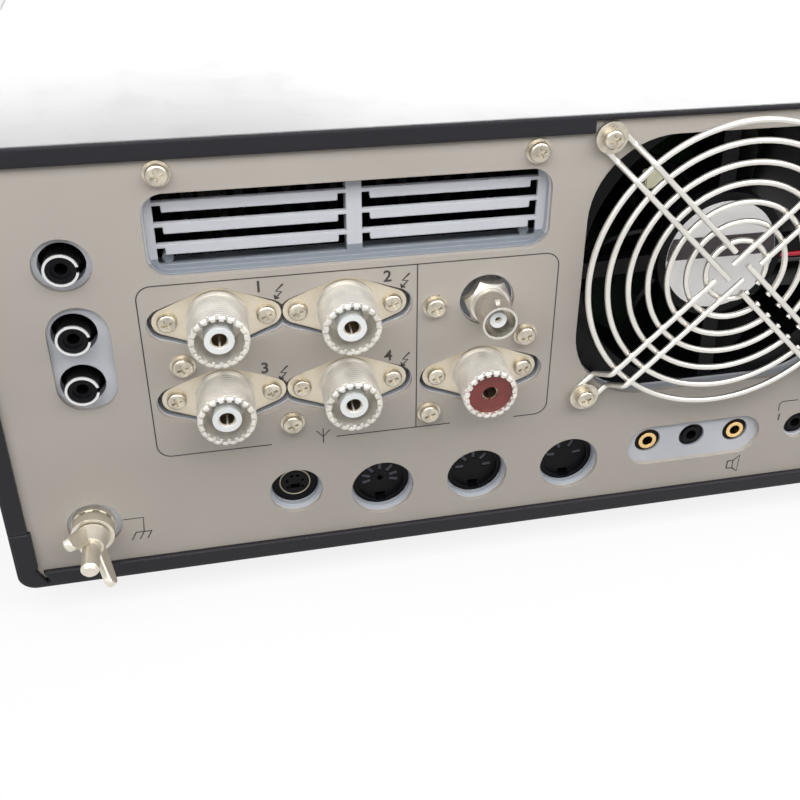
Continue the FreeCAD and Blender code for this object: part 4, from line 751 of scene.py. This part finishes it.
def make_heads_tree():
    """Domed screw heads on every point of a mesh."""
    tree, given, result = new_tree(
        "heads_at_points",
        [
            ("Head Radius", "NodeSocketFloat", 3.4 * MM),
            ("Head Height", "NodeSocketFloat", 1.6 * MM),
            ("Material", "NodeSocketMaterial", None),
        ],
    )
    ball_size = {"Segments": 32, "Rings": 16, "Radius": given["Head Radius"]}
    ball = add(tree, "GeometryNodeMeshUVSphere", ball_size)
    squash = maths(tree, "DIVIDE", given["Head Height"], given["Head Radius"])
    scale = add(tree, "ShaderNodeCombineXYZ", {"X": 1.0, "Y": 1.0, "Z": squash})
    placed = add(
        tree,
        "GeometryNodeInstanceOnPoints",
        {"Points": given["Geometry"], "Instance": ball.outputs["Mesh"], "Scale": scale.outputs[0]},
    )
    end_tree(tree, placed.outputs["Instances"], given["Material"], result)
    return tree


RIBS = make_ribs_tree()
THREAD = make_thread_tree()
MARKS = make_marks_tree()
INK_AND_SHADE_LINES = make_ink_tree()
SCREW_HEADS = make_heads_tree()


def grow(name, tree, values, source=None):
    """Runs a geometry tree once and returns the plain mesh that it makes."""
    holder = new_object(name, source or bpy.data.meshes.new(name))
    modifier = holder.modifiers.new(name, "NODES")
    modifier.node_group = tree
    sockets = {item.name: item.identifier for item in tree.interface.items_tree if item.in_out == "INPUT"}
    for socket_name, value in values.items():
        modifier[sockets[socket_name]] = value
    return plain_mesh(holder)


# A tree's own Z axis is stood along the set's Y axis, facing the front or the rear
FACING_REAR = Matrix(((-1, 0, 0, 0), (0, 0, 1, 0), (0, 1, 0, 0), (0, 0, 0, 1)))
FACING_FRONT = Matrix(((1, 0, 0, 0), (0, 0, -1, 0), (0, 1, 0, 0), (0, 0, 0, 1)))


def stand(mesh, facing, place):
    """Turns a tree's mesh to face the front or the rear, and moves it to its place."""
    mesh.transform(Matrix.Translation(place) @ facing)
    return mesh


# Rear wall: threads, printing and labels
def make_threads():
    """The crests of the thread on each antenna socket's shell."""
    meshes = []
    values = {"Count": THREAD_TURNS, "Radius": THREAD_RADIUS * MM, "Material": SOCKET_NICKEL}
    for place in ANTENNAS + (RECEIVE_ANTENNA,):
        mesh = grow("thread", THREAD, values)
        meshes.append(stand(mesh, FACING_REAR, rear(*place, THREAD_FIRST)))
    piece_from_meshes("socket_threads", meshes, SOCKET_NICKEL, "case")


def stroke_curve(name, lines):
    """A curve of straight-run splines in a flat plane, in the tree's own axes."""
    curve = bpy.data.curves.new(name, "CURVE")
    curve.dimensions = "3D"
    for points in lines:
        spline = curve.splines.new("POLY")
        spline.points.add(len(points) - 1)
        for target, (across, up) in zip(spline.points, points):
            target.co = (across * MM, up * MM, 0, 1)
    return curve


def rounded_run(left, right, bottom, top, radius):
    """The corner points of a rounded rectangle, anticlockwise from the lower right."""
    steps = 8
    corners = (
        (right - radius, bottom + radius, -90), (right - radius, top - radius, 0),
        (left + radius, top - radius, 90), (left + radius, bottom + radius, 180),
    )
    points = []
    for across, up, start in corners:
        for index in range(steps + 1):
            angle = math.radians(start + 90 * index / steps)
            points.append((across + radius * math.cos(angle), up + radius * math.sin(angle)))
    return points


def print_text(words, place, size, facing=FACING_REAR):
    """Plain figures as a thin mesh, centred on a place."""
    text = bpy.data.curves.new("figures", "FONT")
    text.body = words
    text.size = size * MM
    text.align_x = "CENTER"
    text.align_y = "CENTER"
    text.extrude = INK_HEIGHT * MM / 2
    text.offset = 0.09 * MM
    return stand(plain_mesh(new_object("figures", text)), facing, place)


def make_rear_printing():
    """The socket box with its gaps, the aerial, ground and speaker signs, and figures with zigzags."""
    left, right, bottom, top = SOCKET_BOX
    (first_start, first_end), (second_start, second_end) = SOCKET_BOX_GAPS
    corners = rounded_run(left, right, bottom, top, SOCKET_BOX_CORNER)
    outline = [(second_end, bottom)] + corners + [(first_start, bottom)]
    foot_up = bottom + 0.3
    foot = [(first_end, foot_up), (second_start, foot_up)]
    divider_across, divider_low, divider_high = SOCKET_BOX_DIVIDER
    divider = [(divider_across, divider_low), (divider_across, divider_high)]
    aerial_mast = [(86.3, 39.6), (86.3, 34.4)]
    aerial_arms = [(84.4, 38.9), (86.3, 36.6), (88.3, 38.9)]
    ground = [(26.7, 15.0), (32.4, 15.0), (32.0, 9.9)]
    ground_bar = [(29.6, 9.7), (34.3, 9.65)]
    bracket = [(235.8, 25.7), (235.6, 28.3), (236.6, 29.3), (242.0, 29.3)]
    thin = [outline, foot, divider, aerial_mast, aerial_arms, ground, ground_bar, bracket]
    thin += [[(across, 9.7), (across - 1.5, 6.9)] for across in (29.7, 32.0, 34.2)]
    zigzag = ((1.3, 2.2), (-0.7, 0.2), (0.8, -0.1), (-1.0, -2.0))
    barb = ((-1.1, -0.9), (-1.0, -2.0), (0.1, -1.9))
    speaker_magnet = [(220.8, 7.3), (222.8, 7.3), (222.9, 4.2), (220.8, 4.4), (220.8, 7.3)]
    speaker_cone = [(222.8, 7.3), (224.9, 9.2), (224.8, 2.7), (222.9, 4.2)]
    bold = [speaker_magnet, speaker_cone]
    for across, up in ZIGZAGS:
        bold += [[(across + x, up + z) for x, z in stroke] for stroke in (zigzag, barb)]
    meshes = []
    for lines, width in ((thin, INK_WIDTH), (bold, BOLD_INK_WIDTH)):
        mesh = grow("ink", INK_AND_SHADE_LINES, {"Material": INK, "Width": width * MM}, stroke_curve("ink", lines))
        meshes.append(stand(mesh, FACING_REAR, rear(0, 0, INK_HEIGHT / 2)))
    for words, across, up, size in FIGURES:
        meshes.append(print_text(words, rear(across, up, INK_HEIGHT / 2), size))
    piece_from_meshes("rear_printing", meshes, INK, "case")


def make_socket_pins():
    """A dark contact blade in every slot of the round sockets, and a thin ring in the smallest one."""
    shape = bmesh.new()
    corners = rectangle(Vector(), *PIN_OUTLINE)
    thickness = Vector((0, PIN_THICKNESS * MM, 0))
    for place, turns in ROUND_SOCKETS:
        for turn in turns:
            spin = Matrix.Translation(rear(*place, PIN_DEPTH)) @ Matrix.Rotation(math.radians(turn), 4, "Y")
            add_slab(shape, [spin @ corner for corner in corners], thickness)
    piece_from_shape("socket_pins", shape, PIN_METAL, "case")
    values = {"Count": 1, "Radius": ROTATOR_RING_RADIUS * MM, "Crest Radius": 0.22 * MM, "Material": SILVERED}
    ring = stand(grow("ring", THREAD, values), FACING_REAR, rear(*ROTATOR, ROTATOR_RING_DEPTH))
    piece_from_mesh("rotator_ring", ring, SILVERED, "case")


def make_hub_label():
    """A round label without words on the fan's hub, with a plain band across it."""
    radius = HUB_LABEL_RADIUS * MM
    face = rear(*FAN_CENTRE, HUB_FACE_DEPTH)
    thickness = Vector((0, HUB_LABEL_THICKNESS * MM, 0))
    shape = bmesh.new()
    add_slab(shape, circle_points(face, radius, 64), thickness)
    piece_from_shape("hub_label", shape, LABEL_PAPER, "case")
    shape = bmesh.new()
    start, end = (math.asin(height * MM / radius) for height in HUB_BAND)
    band_radius = radius - 0.1 * MM
    outline = circle_points(face + thickness, band_radius, 8, start, end - start)
    outline += circle_points(face + thickness, band_radius, 8, math.pi - end, end - start)
    add_slab(shape, outline, Vector((0, INK_HEIGHT * MM, 0)))
    piece_from_shape("hub_label_band", shape, LABEL_BAND, "case")


def make_corner_pad():
    """The small square of foam beside one strut of the fan."""
    shape = bmesh.new()
    bmesh.ops.create_cube(shape, size=1.0)
    size = Matrix.Diagonal([side * MM for side in CORNER_PAD_SIZE] + [1.0])
    turn = Matrix.Rotation(math.radians(8), 4, "Y")
    placed = Matrix.Translation(rear(*CORNER_PAD_PLACE)) @ turn @ size
    bmesh.ops.transform(shape, matrix=placed, verts=shape.verts)
    bmesh.ops.bevel(shape, geom=shape.edges[:], offset=0.4 * MM, segments=2, affect="EDGES")
    piece_from_shape("corner_pad", shape, CREAM_PAD, "case")


# Front: grips, marks, meter and display
def make_grips():
    """Rubber ribs round both dials, and moulded flutes round the knobs."""
    grips = (("main_dial", 96, 2.0, 12.0, 18.4), ("sub_dial", 72, 1.5, 8.6, 12.4))
    for node, count, inset, length, out in grips:
        low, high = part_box(node)
        centre = middle_of(node)
        radius = (high.x - low.x) / 2 - inset * MM
        values = {
            "Count": count, "Radius": radius, "Rib Radius": 0.5 * MM, "Length": length * MM,
            "Material": SOFT_RUBBER,
        }
        mesh = grow(node + "_grip", RIBS, values)
        stand(mesh, FACING_FRONT, Vector((centre.x, FRONT_Y - out * MM, centre.z)))
        piece_from_mesh(node + "_grip", mesh, SOFT_RUBBER, node)
    for node in KNOBS:
        low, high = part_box(node)
        centre = middle_of(node)
        radius = (high.x - low.x) / 2 - 1.5 * MM
        values = {
            "Count": 30, "Radius": radius, "Rib Radius": 0.45 * MM, "Length": 7.4 * MM,
            "Material": KNOB_MOULDING,
        }
        mesh = grow(node + "_flutes", RIBS, values)
        stand(mesh, FACING_FRONT, Vector((centre.x, low.y + 5.3 * MM, centre.z)))
        piece_from_mesh(node + "_flutes", mesh, KNOB_MOULDING, node)


def make_front_marks():
    """Dots of a scale round each knob, and a pointer line in each knob's groove."""
    meshes = []
    values = {
        "Count": 11, "Radius": 14.6 * MM, "Start": math.radians(240), "Sweep": math.radians(-300),
        "Mark Length": 1.6 * MM, "Mark Width": 0.5 * MM, "Material": PALE_INK,
    }
    for node in KNOBS:
        centre = middle_of(node)
        mesh = grow("scale", MARKS, values)
        meshes.append(stand(mesh, FACING_FRONT, Vector((centre.x, FRONT_Y - 0.02 * MM, centre.z))))
    piece_from_meshes("knob_scales", meshes, PALE_INK, "case")
    for node in KNOBS:
        centre = middle_of(node)
        groove = Vector((centre.x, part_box(node)[0].y + 0.3 * MM, centre.z))
        shape = bmesh.new()
        add_slab(shape, rectangle(groove, -0.5, 0.5, 3.2, 10.0), Vector((0, 0.35 * MM, 0)))
        piece_from_shape(node + "_pointer", shape, PALE_INK, node)


# Figures of seven bars: the ends of each bar in widths and heights, and the bars of each figure
BAR_ENDS = {
    "a": ((0, 1), (1, 1)), "b": ((1, 0.5), (1, 1)), "c": ((1, 0), (1, 0.5)), "d": ((0, 0), (1, 0)),
    "e": ((0, 0), (0, 0.5)), "f": ((0, 0.5), (0, 1)), "g": ((0, 0.5), (1, 0.5)),
}
FIGURE_BARS = {"0": "abcdef", "1": "bc", "2": "abged", "4": "fgbc", "5": "afgcd"}


def add_bar(shape, start, end, width, thickness):
    """One lit bar with pointed ends."""
    along = (end - start).normalized()
    aside = Vector((-along.z, 0, along.x)) * width / 2
    tip = along * width / 2
    outline = [start, start + tip + aside, end - tip + aside, end, end - tip - aside, start + tip - aside]
    add_slab(shape, outline, thickness)


def make_display():
    """Plain figures of a frequency on the display, and a row of level bars under them."""
    shape = bmesh.new()
    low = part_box("display_module")[0]
    face_y = low.y - 0.05 * MM
    thickness = Vector((0, 0.06 * MM, 0))
    height, width, bar_width = 15.0 * MM, 8.0 * MM, 1.4 * MM
    x = low.x + 10 * MM
    base = low.z + 15 * MM
    for character in "14.250.00":
        if character == ".":
            dot = Vector((x - 2.0 * MM, face_y, base))
            add_slab(shape, rectangle(dot, -0.8, 0.8, -0.8, 0.8), thickness)
            x += 1.6 * MM
            continue
        for name in FIGURE_BARS[character]:
            ends = BAR_ENDS[name]
            start, end = (Vector((x + px * width, face_y, base + pz * height)) for px, pz in ends)
            gap = (end - start).normalized() * 0.5 * MM
            add_bar(shape, start + gap, end - gap, bar_width, thickness)
        x += 12.2 * MM
    for index in range(24):
        corner = Vector((low.x + (10 + index * 3.6) * MM, face_y, low.z + 5 * MM))
        tall = 3.6 if index % 4 == 0 else 2.0
        add_slab(shape, rectangle(corner, 0, 2.2, 0, tall), thickness)
    piece_from_shape("display_figures", shape, GLOWING_SEGMENTS, "case")


def make_meter_scale():
    """Tick marks and plain figures on the meter's card."""
    pivot = front(*METER_PIVOT, METER_CARD_DEPTH)
    meshes = []
    for count, radius, length, width in ((21, 28.0, 1.6, 0.25), (5, 28.8, 3.0, 0.45)):
        values = {
            "Count": count, "Radius": radius * MM, "Start": math.radians(METER_START),
            "Sweep": math.radians(METER_SWEEP), "Mark Length": length * MM, "Mark Width": width * MM,
            "Material": DARK_INK_AND_SHADE,
        }
        meshes.append(stand(grow("scale", MARKS, values), FACING_FRONT, pivot))
    figures = "13579"
    for index, words in enumerate(figures):
        angle = math.radians(METER_START + METER_SWEEP * index / (len(figures) - 1))
        place = pivot + Vector((math.cos(angle), 0, math.sin(angle))) * 32.5 * MM
        meshes.append(print_text(words, place, 4.0, FACING_FRONT))
    piece_from_meshes("meter_scale", meshes, DARK_INK_AND_SHADE, "case")


def make_cover_screws():
    """Flush screws that hold the covers on both sides, each with a dark cross of painted shade in place of a
    cross recess.
    """
    heads, crosses, strokes = [], [], []
    arm = 1.7
    for up, back in COVER_SCREWS:
        strokes += [[(up - arm, back), (up + arm, back)], [(up, back - arm), (up, back + arm)]]
    for side in (-1, 1):
        turn = Matrix(((0, 0, side, 0), (0, -side, 0, 0), (1, 0, 0, 0), (0, 0, 0, 1)))
        points = bpy.data.meshes.new("points")
        points.from_pydata([(up * MM, back * MM, 0.0) for up, back in COVER_SCREWS], [], [])
        mesh = grow("heads", SCREW_HEADS, {"Material": SCREW_NICKEL, "Head Height": 0.3 * MM}, points)
        mesh.transform(Matrix.Translation((side * (FRONT_HIGH.x - 0.2 * MM), 0, 0)) @ turn)
        heads.append(mesh)
        # The crosses are dark strips of painted shade where the screws' cross recesses would be
        values = {"Material": DARK_INK_AND_SHADE, "Width": 0.8 * MM}
        mesh = grow("crosses", INK_AND_SHADE_LINES, values, stroke_curve("crosses", strokes))
        mesh.transform(Matrix.Translation((side * (FRONT_HIGH.x + 0.09 * MM), 0, 0)) @ turn)
        crosses.append(mesh)
    piece_from_meshes("cover_screws", heads, SCREW_NICKEL, "case")
    piece_from_meshes("painted_shade_screw_crosses", crosses, DARK_INK_AND_SHADE, "case")


make_threads()
make_rear_printing()
make_socket_pins()
make_hub_label()
make_corner_pad()
make_grips()
make_front_marks()
make_display()
make_meter_scale()
make_cover_screws()


# Floor, light and camera
FLOOR_DROP = 0.0002
FLOOR_SEEN = 0.92
FLOOR_BOUNCED = 0.35
FLOOR_GLOW = 0.85
ROOM_LIGHT = 0.28


def seen_directly(tree, rays):
    """1 for what the camera or a mirror-like surface sees, 0 for bounced light."""
    return maths(tree, "MAXIMUM", rays["Is Camera Ray"], rays["Is Glossy Ray"])


def make_floor():
    """A plain pale floor that stays white behind the set and keeps its shadow."""
    shape = bmesh.new()
    reach = 6.0
    corners = [Vector((x * reach, y * reach, -FLOOR_DROP)) for x, y in ((-1, -1), (1, -1), (1, 1), (-1, 1))]
    shape.faces.new([shape.verts.new(corner) for corner in corners])
    floor = new_object("floor", mesh_from_shape("floor", shape))
    material = bpy.data.materials.new("floor_white")
    tree = empty_tree(material)
    output = tree.nodes.new("ShaderNodeOutputMaterial")
    seen = seen_directly(tree, add(tree, "ShaderNodeLightPath").outputs)
    shade = maths(tree, "MULTIPLY_ADD", seen, FLOOR_SEEN - FLOOR_BOUNCED, FLOOR_BOUNCED)
    matt = add(tree, "ShaderNodeBsdfDiffuse", {"Color": shade})
    glow = add(tree, "ShaderNodeEmission", {"Color": (1, 1, 1, 1), "Strength": 1.0})
    share = maths(tree, "MULTIPLY", seen, FLOOR_GLOW)
    mixed = add(tree, "ShaderNodeMixShader", {0: share, 1: matt.outputs[0], 2: glow.outputs[0]})
    tree.links.new(mixed.outputs[0], output.inputs["Surface"])
    floor.data.materials.append(material)


def make_sky():
    """An even white room, less strong as a light than it looks."""
    world = bpy.data.worlds.new("white_room")
    bpy.context.scene.world = world
    tree = empty_tree(world)
    rays = add(tree, "ShaderNodeLightPath").outputs
    seen = maths(tree, "MAXIMUM", seen_directly(tree, rays), rays["Is Transmission Ray"])
    strength = maths(tree, "MULTIPLY_ADD", seen, 1.0 - ROOM_LIGHT, ROOM_LIGHT)
    glow = add(tree, "ShaderNodeBackground", {"Color": (1, 1, 1, 1), "Strength": strength})
    output = tree.nodes.new("ShaderNodeOutputWorld")
    tree.links.new(glow.outputs[0], output.inputs["Surface"])


def make_lamp(name, place, aim, size, power, only_in_reflections=False):
    """A rectangular lamp that the camera doesn't see."""
    lamp = bpy.data.lights.new(name, "AREA")
    lamp.shape = "RECTANGLE"
    lamp.size, lamp.size_y = size
    lamp.energy = power
    holder = new_object(name, lamp)
    holder.location = place
    holder.rotation_euler = (Vector(aim) - Vector(place)).to_track_quat("-Z", "Y").to_euler()
    holder.visible_camera = False
    holder.visible_diffuse = not only_in_reflections


def make_camera():
    """The photograph's view: from behind and above the rear wall's left end, a little rolled."""
    camera = bpy.data.cameras.new("camera")
    camera.sensor_width = 36.0
    camera.lens = 47.145
    camera.shift_x = -0.05
    camera.shift_y = -0.075
    camera.clip_start = 0.01
    camera.clip_end = 50.0
    holder = new_object("camera", camera)
    place = rear(60.21, 219.72, 250.55)
    aim = rear(120.89, 65.79, 0.0)
    roll = Matrix.Rotation(math.radians(1.388), 3, "Z")
    turn = (aim - place).to_track_quat("-Z", "Y").to_matrix() @ roll
    holder.matrix_world = Matrix.Translation(place) @ turn.to_4x4()
    bpy.context.scene.camera = holder


make_floor()
make_sky()
make_lamp("overhead", (0.05, 0.43, 0.42), (0.05, 0.16, 0.1), (1.2, 0.22), 3.6)
make_lamp("rear_fill", (0.7, 1.5, 0.9), (0.1, 0.2, 0.08), (1.2, 1.0), 1.5)
make_lamp("front_fill", (-0.6, -1.4, 0.9), (0.0, -0.2, 0.08), (1.2, 1.0), 9.0)
make_lamp("window", (0.2, -1.6, 0.6), (0.1, 0.1, 0.16), (3.6, 0.4), 50.0, only_in_reflections=True)
make_camera()
bpy.context.scene.view_settings.view_transform = "Standard"
